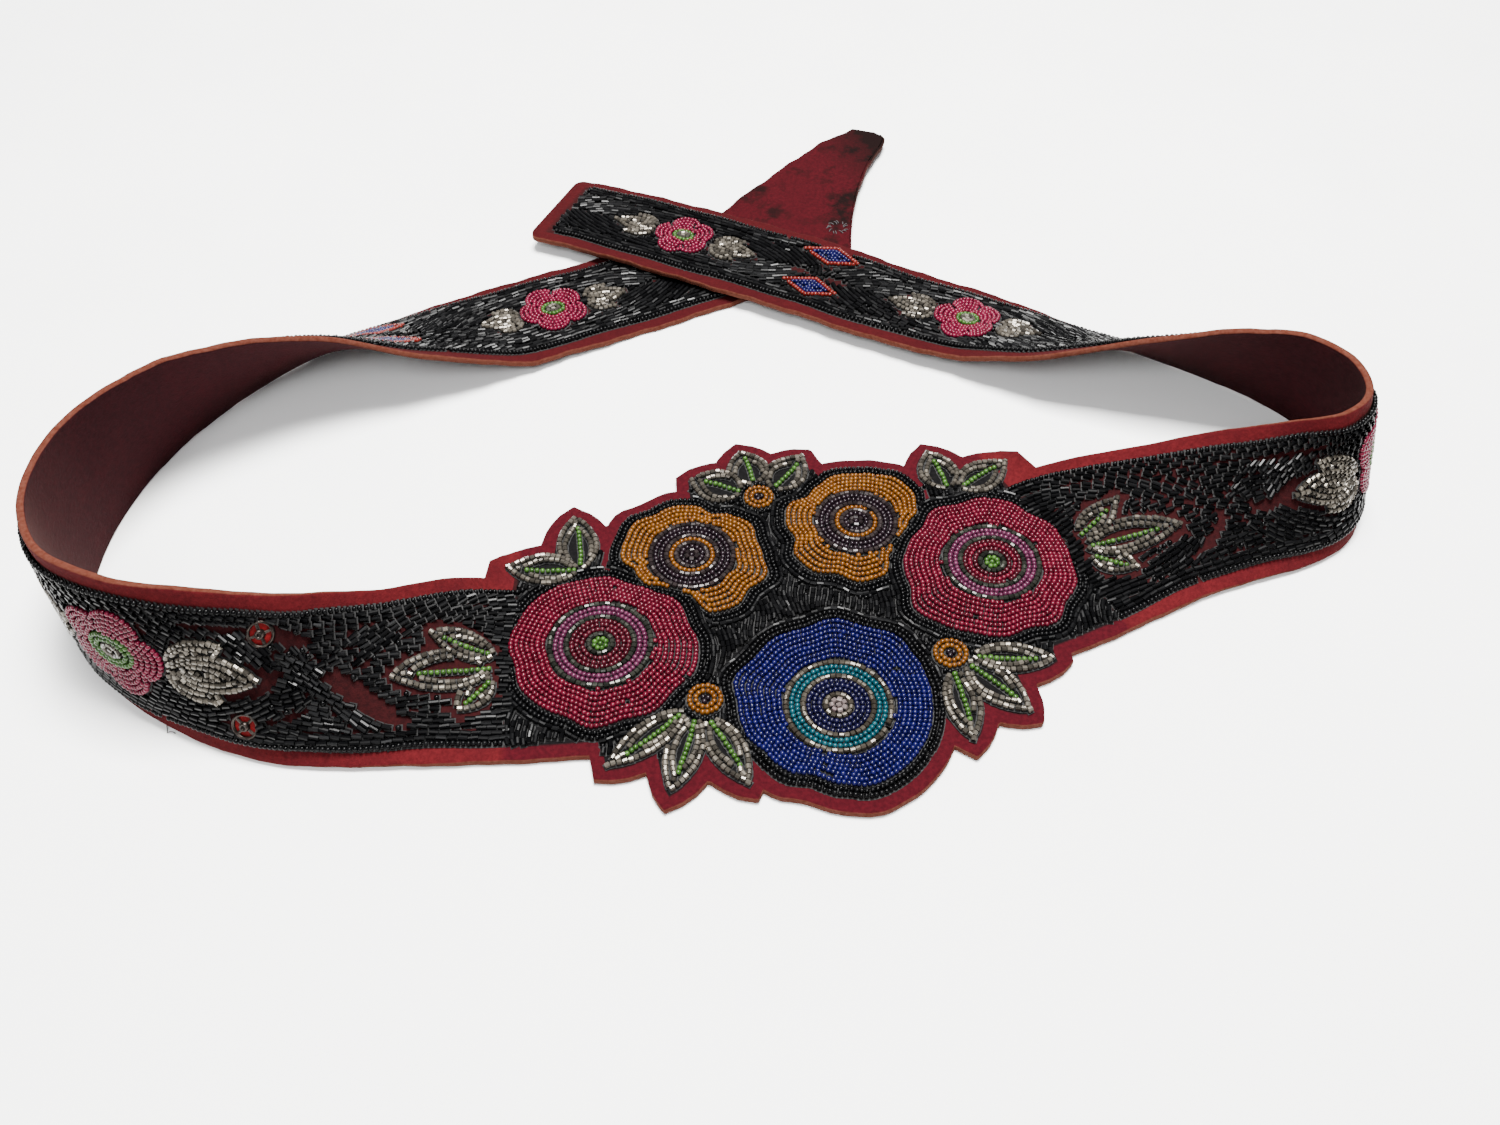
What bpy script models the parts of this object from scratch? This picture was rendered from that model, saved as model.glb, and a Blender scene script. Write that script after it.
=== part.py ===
"""Beaded belt laid out in a loop: one leather strap with fields, flowers and leaves of beadwork."""
import bpy
import bmesh
import math
import numpy as np
from mathutils import Matrix, Vector

# Driving sizes, metres. Frame: x across the loop, y from the front panel to the back, z up.
LOOP_WIDTH = 0.360
LOOP_DEPTH = 0.300
STRAP_WIDTH = 0.045
LEATHER = 0.0020
GAP = 0.00034
BEAD_LAYER = 0.0012
LEAF_LAYER = 0.0016
FLOWER_LAYER = 0.0017
FLOWER_CROWN = 0.0007
RIM_MARGIN = 0.0040
BLACK_RING = 0.0030
EDGE_MARGIN = 0.0041
LAYER_LIFT = 0.0044
DIAMOND_HIGH = 0.0070
DIAMOND_LOW = 0.0115
LEAF_STATIONS = 5
BEND_CLEAR = 0.00036
BAND_CLEAR = 0.0001
SNAP_RADIUS = 0.0037
SNAP_HEIGHT = 0.0014
DIAMOND_LENGTH = 0.0250
DIAMOND_WIDTH = 0.0110
END_CORNER = 0.0040
TWIST_STEP = 0.044
PANEL_STEP = 0.0026
CENTRE_X = -0.000395
CENTRE_Y = -0.002972
REST_LIFT = 0.000008

# The way of the lower edge, from the tongue round the left turn, the front and the right turn.
# Columns: x as a share of LOOP_WIDTH, y as a share of LOOP_DEPTH, lift as a share of LAYER_LIFT,
# lean as a share of a right angle (0 stands on edge, 1 lies flat), width as a share of STRAP_WIDTH.
WAY = (
    (0.1806, 0.4000, 0.4773, 1.0000, 0.9111),
    (0.0806, 0.3450, 0.4773, 1.0000, 0.9111),
    (0.0194, 0.3133, 0.3636, 1.0000, 0.9111),
    (-0.0194, 0.2917, 0.0682, 1.0000, 0.9222),
    (-0.1417, 0.2233, 0.0000, 1.0000, 0.9556),
    (-0.2472, 0.1633, 0.0000, 0.9667, 1.0000),
    (-0.3306, 0.1050, 0.0000, 0.7556, 1.0000),
    (-0.3833, 0.0600, 0.0000, 0.5778, 1.0000),
    (-0.4444, -0.0200, 0.0000, 0.3667, 1.0000),
    (-0.4833, -0.1033, 0.0000, 0.1889, 1.0000),
    (-0.5028, -0.2033, 0.0000, 0.0444, 1.0000),
    (-0.4972, -0.2867, 0.0000, 0.0111, 1.0222),
    (-0.4694, -0.3533, 0.0000, 0.0222, 1.0444),
    (-0.4125, -0.4083, 0.0000, 0.1222, 1.0444),
    (-0.3658, -0.4367, 0.0000, 0.2667, 1.0222),
    (-0.3111, -0.4550, 0.0000, 0.4000, 0.9889),
    (-0.2556, -0.4587, 0.0000, 0.6667, 0.9778),
    (-0.1806, -0.4577, 0.0000, 0.9889, 1.2889),
    (-0.1028, -0.4517, 0.0000, 1.0000, 1.2889),
    (0.0083, -0.4300, 0.0000, 1.0000, 1.3333),
    (0.1333, -0.3933, 0.0000, 1.0000, 1.3333),
    (0.2528, -0.3433, 0.0000, 1.0000, 1.3778),
    (0.3139, -0.3067, 0.0000, 0.9944, 1.3778),
    (0.3750, -0.2700, 0.0000, 0.7889, 1.0333),
    (0.4389, -0.2417, 0.0000, 0.5111, 0.9222),
    (0.4806, -0.2100, 0.0000, 0.2667, 0.9444),
    (0.5014, -0.1600, 0.0000, 0.1444, 0.9667),
    (0.5000, -0.1000, 0.0000, 0.1556, 0.9889),
    (0.4750, -0.0400, 0.0000, 0.2222, 0.9889),
    (0.4278, 0.0117, 0.0000, 0.3556, 0.9778),
    (0.3694, 0.0567, 0.0000, 0.5333, 0.9222),
    (0.2972, 0.1083, 0.1364, 0.8000, 0.9111),
    (0.2433, 0.1463, 0.3636, 0.9333, 0.9000),
    (0.1708, 0.1853, 0.6818, 0.9778, 0.8889),
    (0.1053, 0.2260, 0.9545, 1.0000, 0.8889),
    (0.0181, 0.2750, 1.0000, 1.0000, 0.8889),
    (-0.1036, 0.3417, 0.7273, 0.9778, 0.8889),
    (-0.1750, 0.3767, 0.4545, 0.9667, 0.8889),
    (-0.2417, 0.4067, 0.4545, 0.9667, 0.8889),
)

# The strap is measured both ways from a place at the low edge of the panel, given as shares of
# LOOP_WIDTH and LOOP_DEPTH. Places along the strap are shares of its whole run.
PANEL_X = 0.008333
PANEL_Y = -0.430000
PITCH = 0.107376
FIELD_START = -0.431355
FIELD_END = 0.459587
STRAP_START = -0.507443
STRAP_END = 0.465604

# Ends of the black field of the panel, as shares of STRAP_WIDTH.
PANEL_FROM = -1.378
PANEL_TO = 2.400

# Flowers and buds. Columns: name, x and y from the place at the panel and mean radius, all as
# shares of STRAP_WIDTH.
FLOWERS = (
    ("flower_blue", 0.5046, 0.1647, 0.5653),
    ("flower_magenta_left", -0.8862, 0.6006, 0.5437),
    ("flower_magenta_right", 1.5092, 1.2331, 0.5444),
    ("flower_orange_left", -0.3634, 1.2904, 0.4178),
    ("flower_orange_right", 0.6789, 1.5726, 0.4232),
    ("bud_left", -0.2578, 0.2200, 0.1089),
    ("bud_right", 1.1844, 0.5444, 0.1089),
    ("bud_top", 0.0578, 1.8000, 0.1022),
)

# Rims of the large flowers: radius as a share of the mean radius, at equal turns from +x.
RIMS = {
    "flower_blue": (
        0.96, 0.99, 1.04, 1.12, 1.07, 1.13, 1.05, 1.08, 1.05, 1.12,
        1.02, 1.00, 0.92, 0.92, 0.84, 0.90, 0.96, 0.95, 0.94, 0.95),
    "flower_magenta_left": (
        1.08, 1.00, 1.03, 0.92, 0.89, 0.96, 0.95, 0.98, 0.99, 0.98,
        1.01, 0.95, 1.00, 0.99, 0.98, 1.08, 1.01, 1.07, 1.02, 1.10),
    "flower_magenta_right": (
        0.92, 0.92, 0.96, 0.91, 1.00, 1.02, 0.96, 1.03, 0.93, 0.98,
        1.02, 1.02, 1.16, 1.10, 1.05, 1.06, 0.98, 1.06, 0.95, 0.98),
    "flower_orange_left": (
        1.07, 1.03, 1.11, 1.02, 0.88, 1.03, 1.07, 1.03, 1.14, 1.09,
        1.09, 0.89, 0.87, 0.71, 0.68, 0.72, 1.13, 1.17, 1.07, 1.20),
    "flower_orange_right": (
        0.78, 1.00, 1.13, 1.16, 1.08, 1.03, 1.03, 0.94, 0.89, 1.10,
        1.07, 0.98, 1.16, 1.18, 1.06, 1.17, 1.11, 0.77, 0.65, 0.70),
}

# Leaves of the sprays. Columns: spray, base x and y, tip x and y from the place at the panel and
# half width, all as shares of STRAP_WIDTH.
LEAVES = (
    ("top", -0.0533, 1.8489, -0.4111, 1.9689, 0.1533),
    ("top", 0.0267, 1.9178, -0.0711, 2.2333, 0.1467),
    ("top", 0.1467, 1.8756, 0.3600, 2.1911, 0.1444),
    ("top_left", -1.0667, 1.1822, -1.5289, 1.1822, 0.1311),
    ("top_left", -1.0533, 1.1867, -1.1311, 1.6489, 0.1378),
    ("top_right", 1.3000, 1.8800, 1.1844, 2.2333, 0.1400),
    ("top_right", 1.3733, 1.8800, 1.7200, 2.1200, 0.1378),
    ("low_left", -0.3689, 0.1400, -0.8089, -0.2378, 0.1067),
    ("low_left", -0.3067, 0.1022, -0.4444, -0.4067, 0.1156),
    ("low_left", -0.2356, 0.0933, 0.0044, -0.3489, 0.1156),
    ("low_right", 1.3067, 0.5244, 1.8222, 0.5089, 0.1111),
    ("low_right", 1.2711, 0.4800, 1.6133, 0.1311, 0.1333),
    ("low_right", 1.1911, 0.4222, 1.2600, -0.0689, 0.1178),
)

# Leaves of the two sprays in the strap. Columns: spray, base along and across, tip along and
# across and half width, all as shares of STRAP_WIDTH.
LENS_LEAVES = (
    ("lens_left", -1.4889, 0.7000, -1.8778, 0.7889, 0.1022),
    ("lens_left", -1.4889, 0.6111, -2.0667, 0.5000, 0.1333),
    ("lens_left", -1.4889, 0.5333, -1.6889, 0.3000, 0.0978),
    ("lens_right", 2.5778, 0.7222, 2.9000, 0.8222, 0.1022),
    ("lens_right", 2.5556, 0.6333, 3.1000, 0.4778, 0.1289),
    ("lens_right", 2.5444, 0.5667, 2.7444, 0.3333, 0.0978),
)

# Flowers of the strap, one in each lens. Columns: name, place along as a share of the pitch,
# radius, leaf length and leaf half width as shares of STRAP_WIDTH, half length of the lens as a
# share of the pitch and its rise as a share of STRAP_WIDTH.
STRAP_FLOWERS = (
    ("hidden_left", -2.414, 0.252, 0.342, 0.190, 0.400, 0.276),
    ("back_left", -3.431, 0.245, 0.320, 0.190, 0.390, 0.268),
    ("left_turn", -1.397, 0.302, 0.550, 0.250, 0.400, 0.335),
    ("right_turn", 1.750, 0.295, 0.473, 0.245, 0.395, 0.322),
    ("back_right", 2.974, 0.250, 0.333, 0.185, 0.390, 0.274),
    ("end_right", 3.879, 0.222, 0.380, 0.175, 0.390, 0.248),
)

# Places where the bead bands cross, as shares of the pitch.
CROSSINGS = (-3.920, -2.922, -1.905, -0.983, 1.302, 2.379, 3.431)

# Half lenses beside the panel. Columns: place of the tip, place of the open end and rise, as
# shares of STRAP_WIDTH.
HALF_LENSES = (
    (-2.333, -1.444, 0.345),
    (3.253, 2.449, 0.350),
)

# Sew-on snaps: place along and across as shares of STRAP_WIDTH, and side of the middle.
SNAPS = (
    (-2.733, 0.778, 1.0),
    (-2.822, 0.211, -1.0),
)

# Snap under the tongue: distance from the far tip and place across, as shares of STRAP_WIDTH.
TONGUE_SNAP = (0.938, 0.478)

# Outline of the bare tongue. Columns: along as a share of STRAP_WIDTH from the far tip,
# lower and upper edge as shares of STRAP_WIDTH.
TONGUE = (
    (0.0000, -0.5239, -0.4837),
    (0.0267, -0.6071, -0.4528),
    (0.0933, -0.6650, -0.3756),
    (0.1822, -0.7422, -0.3029),
    (0.3244, -0.7124, -0.1867),
    (0.5111, -0.6733, 0.0181),
    (0.6911, -0.5982, 0.2756),
    (0.8733, -0.5222, 0.5879),
    (1.0267, -0.4460, 0.9178),
    (1.2400, -0.3400, 0.9178),
    (1.6844, -0.1289, 0.9239),
    (1.9156, -0.0133, 0.9271),
    (2.0489, 0.0000, 0.9289),
)

# Colours by material: base colour and roughness.
FINISH = {
    "suede": ((0.26, 0.035, 0.03), 0.85),
    "black_bead": ((0.012, 0.012, 0.016), 0.25),
    "blue_bead": ((0.02, 0.03, 0.30), 0.3),
    "magenta_bead": ((0.36, 0.02, 0.10), 0.3),
    "orange_bead": ((0.55, 0.24, 0.03), 0.3),
    "silver_bead": ((0.30, 0.29, 0.26), 0.3),
    "pink_bead": ((0.45, 0.06, 0.17), 0.3),
    "snap_metal": ((0.08, 0.07, 0.065), 0.35),
}


def spline(knots, values):
    """Natural cubic spline through the values at the knots."""
    n = len(knots)
    h = np.diff(knots)
    a = np.zeros((n, n))
    r = np.zeros(n)
    a[0, 0] = 1.0
    a[-1, -1] = 1.0
    for i in range(1, n - 1):
        a[i, i - 1] = h[i - 1]
        a[i, i] = 2.0 * (h[i - 1] + h[i])
        a[i, i + 1] = h[i]
        r[i] = 6.0 * ((values[i + 1] - values[i]) / h[i] - (values[i] - values[i - 1]) / h[i - 1])
    m = np.linalg.solve(a, r)

    def at(q):
        i = np.clip(np.searchsorted(knots, q) - 1, 0, n - 2)
        u = knots[i + 1] - q
        v = q - knots[i]
        cubic = (m[i] * u ** 3 + m[i + 1] * v ** 3) / (6.0 * h[i])
        line = (values[i] / h[i] - m[i] * h[i] / 6.0) * u
        return cubic + line + (values[i + 1] / h[i] - m[i + 1] * h[i] / 6.0) * v

    return at


def soften(a, n=41):
    """Round the corners of a row of values."""
    pad = np.concatenate((np.full(n, a[0]), a, np.full(n, a[-1])))
    window = np.hanning(n)
    return np.convolve(pad, window / window.sum(), "same")[n:-n]


def build_way():
    """Dense table of the strap: distance along, base point, direction, lean and width."""
    rows = np.array(WAY)
    x = rows[:, 0] * LOOP_WIDTH
    y = rows[:, 1] * LOOP_DEPTH
    knots = np.concatenate(([0.0], np.cumsum(np.hypot(np.diff(x), np.diff(y)))))
    q = np.linspace(0.0, knots[-1], 2000)
    px = spline(knots, x)(q)
    py = spline(knots, y)(q)
    lift = soften(np.interp(q, knots, rows[:, 2])) * LAYER_LIFT
    lean = soften(np.interp(q, knots, rows[:, 3])) * math.pi / 2.0
    width = soften(np.interp(q, knots, rows[:, 4])) * STRAP_WIDTH
    s = np.concatenate(([0.0], np.cumsum(np.hypot(np.diff(px), np.diff(py)))))
    s = s - s[np.argmin(np.hypot(px - PANEL_X * LOOP_WIDTH, py - PANEL_Y * LOOP_DEPTH))]
    tx = np.gradient(px, s)
    ty = np.gradient(py, s)
    size = np.hypot(tx, ty)
    return s, px, py, lift, tx / size, ty / size, lean, width


S, PX, PY, LIFT, TX, TY, LEAN, WIDTH = build_way()
RUN = float(S[-1] - S[0])
TIP_AT = STRAP_START * RUN
END_AT = STRAP_END * RUN
FIELD_SPAN = (FIELD_START * RUN, FIELD_END * RUN)
PANEL_SPAN = (PANEL_FROM * STRAP_WIDTH, PANEL_TO * STRAP_WIDTH)


def panel_point(x, y):
    """Point of the flat panel from shares of STRAP_WIDTH."""
    return PANEL_X * LOOP_WIDTH + x * STRAP_WIDTH, PANEL_Y * LOOP_DEPTH + y * STRAP_WIDTH


def strap_flowers():
    """Name, place, radius, leaf length, leaf half width, lens half length and rise, in metres."""
    for name, place, radius, length, half, lens, rise in STRAP_FLOWERS:
        sizes = [v * STRAP_WIDTH for v in (radius, length, half)]
        yield name, place * PITCH * RUN, *sizes, lens * PITCH * RUN, rise * STRAP_WIDTH


def lay(s, t, h):
    """Point of the strap: s along, t up across from the lower edge, h outward from the inner face."""
    x = np.interp(s, S, PX)
    y = np.interp(s, S, PY)
    tx = np.interp(s, S, TX)
    ty = np.interp(s, S, TY)
    lean = np.interp(s, S, LEAN)
    up = np.cos(lean)
    over = np.sin(lean)
    px = x - ty * over * t + ty * up * h
    py = y + tx * over * t - tx * up * h
    pz = np.interp(s, S, LIFT) + up * t + over * h
    return Vector((float(px), float(py), float(pz)))


def unroll(x, y):
    """Strap coordinates of a point of the flat panel."""
    near = np.abs(S) < 0.18
    e = (x - PX[near]) * TX[near] + (y - PY[near]) * TY[near]
    k = int(np.argmin(np.abs(e)))
    e0 = e[k]
    s = S[near][k] + e0
    t = -(x - PX[near][k]) * TY[near][k] + (y - PY[near][k]) * TX[near][k]
    return float(s), float(t)


def width_at(s):
    return float(np.interp(s, S, WIDTH))


def material(slot):
    mat = bpy.data.materials.new(slot)
    mat.use_nodes = True
    shader = mat.node_tree.nodes["Principled BSDF"]
    colour, rough = FINISH[slot]
    shader.inputs["Base Color"].default_value = (*colour, 1.0)
    shader.inputs["Roughness"].default_value = rough
    if slot == "snap_metal":
        shader.inputs["Metallic"].default_value = 1.0
    mat.diffuse_color = (*colour, 1.0)
    return mat


def new_object(name, verts, faces, where):
    mesh = bpy.data.meshes.new(name)
    mesh.from_pydata([tuple(v) for v in verts], [], faces)
    bm = bmesh.new()
    bm.from_mesh(mesh)
    bmesh.ops.recalc_face_normals(bm, faces=bm.faces)
    bm.to_mesh(mesh)
    bm.free()
    obj = bpy.data.objects.new(name, mesh)
    where.objects.link(obj)
    return obj


def strip(name, columns, low_h, high_h, where):
    """Closed plate in pattern space from columns of rows of t, cells split along one diagonal."""
    verts = []
    faces = []
    rows = len(columns[0][1])
    for s, levels in columns:
        verts += [(s, v, low_h) for v in levels]
        verts += [(s, v, high_h) for v in levels]
    step = 2 * rows
    for i in range(len(columns) - 1):
        a = i * step
        b = a + step
        for k in range(rows - 1):
            faces.append((a + k, b + k + 1, b + k))
            faces.append((a + k, a + k + 1, b + k + 1))
            faces.append((a + rows + k, b + rows + k, b + rows + k + 1))
            faces.append((a + rows + k, b + rows + k + 1, a + rows + k + 1))
        faces.append((a, b, b + rows, a + rows))
        faces.append((a + rows - 1, a + 2 * rows - 1, b + 2 * rows - 1, b + rows - 1))
    last = (len(columns) - 1) * step
    for k in range(rows - 1):
        faces.append((k, k + 1, rows + k + 1, rows + k))
        faces.append((last + k, last + rows + k, last + rows + k + 1, last + k + 1))
    return new_object(name, verts, faces, where)


def prism(name, outline, low_h, high_h, where):
    """Closed prism in pattern space over a polygon of (s, t)."""
    n = len(outline)
    verts = [(s, t, low_h) for s, t in outline] + [(s, t, high_h) for s, t in outline]
    faces = [tuple(range(n)), tuple(range(2 * n - 1, n - 1, -1))]
    for i in range(n):
        j = (i + 1) % n
        faces.append((i, j, n + j, n + i))
    return new_object(name, verts, faces, where)


def bend(obj):
    """Carry a solid from pattern space onto the laid strap."""
    for v in obj.data.vertices:
        v.co = lay(v.co.x, v.co.y, v.co.z)
    obj.data.update()


def rim_share(name, a):
    """Radius of a flower at angle a as a share of its mean radius."""
    if name.startswith("strap_flower"):
        return 0.80 + 0.30 * abs(math.cos(2.5 * a)) ** 0.7
    if name not in RIMS:
        return 1.0
    row = RIMS[name]
    n = len(row)
    q = a / (2.0 * math.pi) * n
    i = int(math.floor(q))
    f = q - i
    f = (1.0 - math.cos(math.pi * f)) / 2.0
    return row[i % n] * (1.0 - f) + row[(i + 1) % n] * f


def fan_plate(name, outline, low_h, high_h, where):
    """Closed plate over a polygon, each face a fan about its middle."""
    n = len(outline)
    cs = sum(p[0] for p in outline) / n
    ct = sum(p[1] for p in outline) / n
    verts = [(s, t, low_h) for s, t in outline] + [(s, t, high_h) for s, t in outline]
    verts += [(cs, ct, low_h), (cs, ct, high_h)]
    faces = []
    for i in range(n):
        j = (i + 1) % n
        faces.append((i, j, n + j, n + i))
        faces.append((j, i, 2 * n))
        faces.append((n + i, n + j, 2 * n + 1))
    return new_object(name, verts, faces, where)


def petal_outline(name, x, y, radius, count, grow=0.0, share=1.0):
    """Ring of a flower at a share of its radius; inner rings run rounder than the rim."""
    ring = []
    for i in range(count):
        a = 2.0 * math.pi * i / count
        r = radius * share * (1.0 + (rim_share(name, a) - 1.0) * share) + grow
        ring.append((x + r * math.cos(a), y + r * math.sin(a)))
    return ring


def leaf_side(u):
    """Half width of a leaf at share u of its length."""
    return math.sin(math.pi * min(max(u, 0.0), 1.0) ** 0.85) ** 0.7


def lobe_ring(ax, ay, bx, by, half, grow, stations=9):
    """Pointed lobe of the cut edge about a leaf."""
    length = math.hypot(bx - ax, by - ay)
    ux = (bx - ax) / length
    uy = (by - ay) / length
    ax -= ux * grow * 0.6
    ay -= uy * grow * 0.6
    span = length + grow * 1.6
    side = []
    for i in range(1, stations):
        u = i / stations
        side.append((u * span, (half + grow) * leaf_side(u)))
    ring = [(ax, ay)]
    ring += [(ax + ux * d - uy * w, ay + uy * d + ux * w) for d, w in side]
    ring.append((ax + ux * span, ay + uy * span))
    ring += [(ax + ux * d + uy * w, ay + uy * d - ux * w) for d, w in reversed(side)]
    return ring


def leaf_places(length, half, grow=0.0, stations=LEAF_STATIONS):
    """Distance along and half width of a leaf at its stations, from base to tip."""
    places = []
    for i in range(stations):
        u = 0.02 + 0.96 * i / (stations - 1)
        end = -grow if i == 0 else grow if i == stations - 1 else 0.0
        places.append((u * length + end, half * max(leaf_side(u), 0.16) + grow))
    return places


def leaf_ring(ax, ay, bx, by, half, grow):
    """Outline of a leaf plate, grown by a clearance."""
    length = math.hypot(bx - ax, by - ay)
    ux = (bx - ax) / length
    uy = (by - ay) / length
    side = leaf_places(length, half, grow)
    ring = [(ax + ux * d - uy * w, ay + uy * d + ux * w) for d, w in side]
    ring += [(ax + ux * d + uy * w, ay + uy * d - ux * w) for d, w in reversed(side)]
    return ring


def flat_ring(ring):
    """Carry a ring of the flat panel into pattern space."""
    return [unroll(x, y) for x, y in ring]


def reach(ring, s):
    """Lowest and highest crossing of a closed ring with the line at s."""
    hits = []
    for (s0, t0), (s1, t1) in zip(ring, ring[1:] + ring[:1]):
        if (s0 - s) * (s1 - s) <= 0.0 and abs(s1 - s0) > 1e-9:
            hits.append(t0 + (t1 - t0) * (s - s0) / (s1 - s0))
    if not hits:
        return None
    return min(hits), max(hits)


def strap_edge(s):
    """Edges of the plain strap, with the square end and the tongue."""
    lo = 0.0
    hi = width_at(s)
    rows = np.array(TONGUE) * STRAP_WIDTH
    if s < TIP_AT + rows[-1, 0]:
        lo = float(np.interp(s - TIP_AT, rows[:, 0], rows[:, 1]))
        hi = float(np.interp(s - TIP_AT, rows[:, 0], rows[:, 2]))
    left = END_AT - s
    if left < END_CORNER:
        bite = END_CORNER - math.sqrt(max(END_CORNER ** 2 - (END_CORNER - left) ** 2, 0.0))
        lo += bite
        hi -= bite
    return lo, hi


def outline_at(s, rings, lo, hi):
    for ring in rings:
        hit = reach(ring, s)
        if hit:
            lo = min(lo, hit[0])
            hi = max(hi, hit[1])
    return lo, hi


def leather_rings():
    """Panel shapes that the cut edge of the leather follows."""
    rings = []
    for name, fx, fy, radius in FLOWERS:
        x, y = panel_point(fx, fy)
        rings.append(flat_ring(petal_outline(name, x, y, radius * STRAP_WIDTH, 60, BLACK_RING + RIM_MARGIN)))
    for spray, ax, ay, bx, by, half in LEAVES:
        ends = (*panel_point(ax, ay), *panel_point(bx, by))
        rings.append(flat_ring(lobe_ring(*ends, half * STRAP_WIDTH, RIM_MARGIN)))
    return rings


def column_places():
    """Places of the columns: close in the panel and where the strap bends or twists."""
    bend_rate = np.hypot(np.gradient(TX, S), np.gradient(TY, S)) + 1e-6
    twist_rate = np.abs(np.gradient(LEAN, S)) + 1e-6
    places = [TIP_AT]
    s = TIP_AT
    while True:
        ahead = s + np.array([0.0, 0.004, 0.008])
        round_step = math.sqrt(8.0 * 0.00009 / float(np.max(np.interp(ahead, S, bend_rate))))
        twist_step = TWIST_STEP / float(np.max(np.interp(ahead, S, twist_rate)))
        step = max(min(0.012, round_step, twist_step), 0.0018)
        if PANEL_SPAN[0] - 0.35 * STRAP_WIDTH < s < PANEL_SPAN[1] + 0.2 * STRAP_WIDTH:
            step = PANEL_STEP
        if s < TIP_AT + 0.95 * STRAP_WIDTH:
            step = 0.0045
        s += step
        if s >= END_AT - END_CORNER - 0.001:
            break
        places.append(s)
    places += [END_AT - END_CORNER * (1.0 - math.sin(a)) for a in (0.0, 0.5, 0.95, math.pi / 2.0)]
    for stop in (FIELD_SPAN[0], PANEL_SPAN[0] - GAP, PANEL_SPAN[1] + GAP, FIELD_SPAN[1]):
        near = min(range(len(places)), key=lambda k: abs(places[k] - stop))
        places[near] = stop
    return places


def places_between(start, end):
    inner = [s for s in column_places() if start + 0.0008 < s < end - 0.0008]
    return [start] + inner + [end]


def leather_columns():
    rings = leather_rings()
    cols = []
    for s in column_places():
        lo, hi = strap_edge(s)
        if -2.3 * STRAP_WIDTH < s < 2.9 * STRAP_WIDTH:
            lo, hi = outline_at(s, rings, lo, hi)
        cols.append((s, (lo, (lo + hi) / 2.0, hi)))
    return cols


def field_rings():
    """Rounds of black beads about the flowers of the panel."""
    rings = []
    for name, fx, fy, radius in FLOWERS:
        x, y = panel_point(fx, fy)
        rings.append(flat_ring(petal_outline(name, x, y, radius * STRAP_WIDTH, 60, BLACK_RING)))
    return rings


def panel_columns(start, end):
    rings = field_rings()
    cols = []
    for s in places_between(start, end)[::3] + [end]:
        lo, hi = outline_at(s, rings, EDGE_MARGIN, width_at(s) - EDGE_MARGIN)
        if not cols or s > cols[-1][0] + 0.0005:
            cols.append((s, (lo, hi)))
    return cols


def lens_rise(s):
    """Half height of the almond opening between the two bands."""
    rise = 0.0
    for name, place, radius, leaf_length, leaf_half, half, height in strap_flowers():
        u = abs(s - place) / half
        if u < 1.0:
            rise = height * (1.0 - u ** 3.0)
    for tip, end, height in HALF_LENSES:
        u = (s / STRAP_WIDTH - end) / (tip - end)
        if u < 1.0 and (s > 0.0) == (end > 0.0):
            rise = max(rise, height * STRAP_WIDTH * (1.0 - max(u, 0.0) ** 2.4))
    return rise


def band_columns(start, end, side):
    """Columns of the bead band below (-1) or above (+1) the middle of the strap."""
    cols = []
    for s in places_between(start, end):
        wide = width_at(s)
        inner = wide / 2.0 + side * (lens_rise(s) + GAP / 2.0)
        outer = EDGE_MARGIN if side < 0 else wide - EDGE_MARGIN
        cols.append((s, (min(inner, outer), max(inner, outer))))
    return cols


def diamond_ring(s0, side, grow):
    """Diamond between the crossing bands and the edge of the strap."""
    mid = width_at(s0) / 2.0
    t0 = mid + (DIAMOND_HIGH if side > 0.0 else -DIAMOND_LOW)
    a = DIAMOND_LENGTH / 2.0 + grow * 2.0
    b = DIAMOND_WIDTH / 2.0 + grow * 1.2
    return [(s0 - a, t0), (s0, t0 - b), (s0 + a, t0), (s0, t0 + b)]


def disc_ring(s0, t0, radius, count):
    ring = []
    for i in range(count):
        a = 2.0 * math.pi * i / count
        ring.append((s0 + radius * math.cos(a), t0 + radius * math.sin(a)))
    return ring


def cut(target, cutters, where):
    """Take the cutters out of the target, exactly."""
    for tool in cutters:
        tool.hide_render = True
        tool.display_type = "WIRE"
        mod = target.modifiers.new("cut", "BOOLEAN")
        mod.operation = "DIFFERENCE"
        mod.solver = "EXACT"
        mod.object = tool
    bake(target)


def join_all(target, parts):
    """Union of the parts into the target, exactly."""
    for part in parts:
        mod = target.modifiers.new("join", "BOOLEAN")
        mod.operation = "UNION"
        mod.solver = "EXACT"
        mod.object = part
    bake(target)


def bake(target):
    bpy.context.view_layer.update()
    graph = bpy.context.evaluated_depsgraph_get()
    mesh = bpy.data.meshes.new_from_object(target.evaluated_get(graph))
    target.modifiers.clear()
    target.data = mesh
    bm = bmesh.new()
    bm.from_mesh(mesh)
    bmesh.ops.remove_doubles(bm, verts=bm.verts, dist=0.00001)
    bmesh.ops.triangulate(bm, faces=[f for f in bm.faces if len(f.verts) > 4])
    bmesh.ops.recalc_face_normals(bm, faces=bm.faces)
    bm.to_mesh(mesh)
    bm.free()


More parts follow.
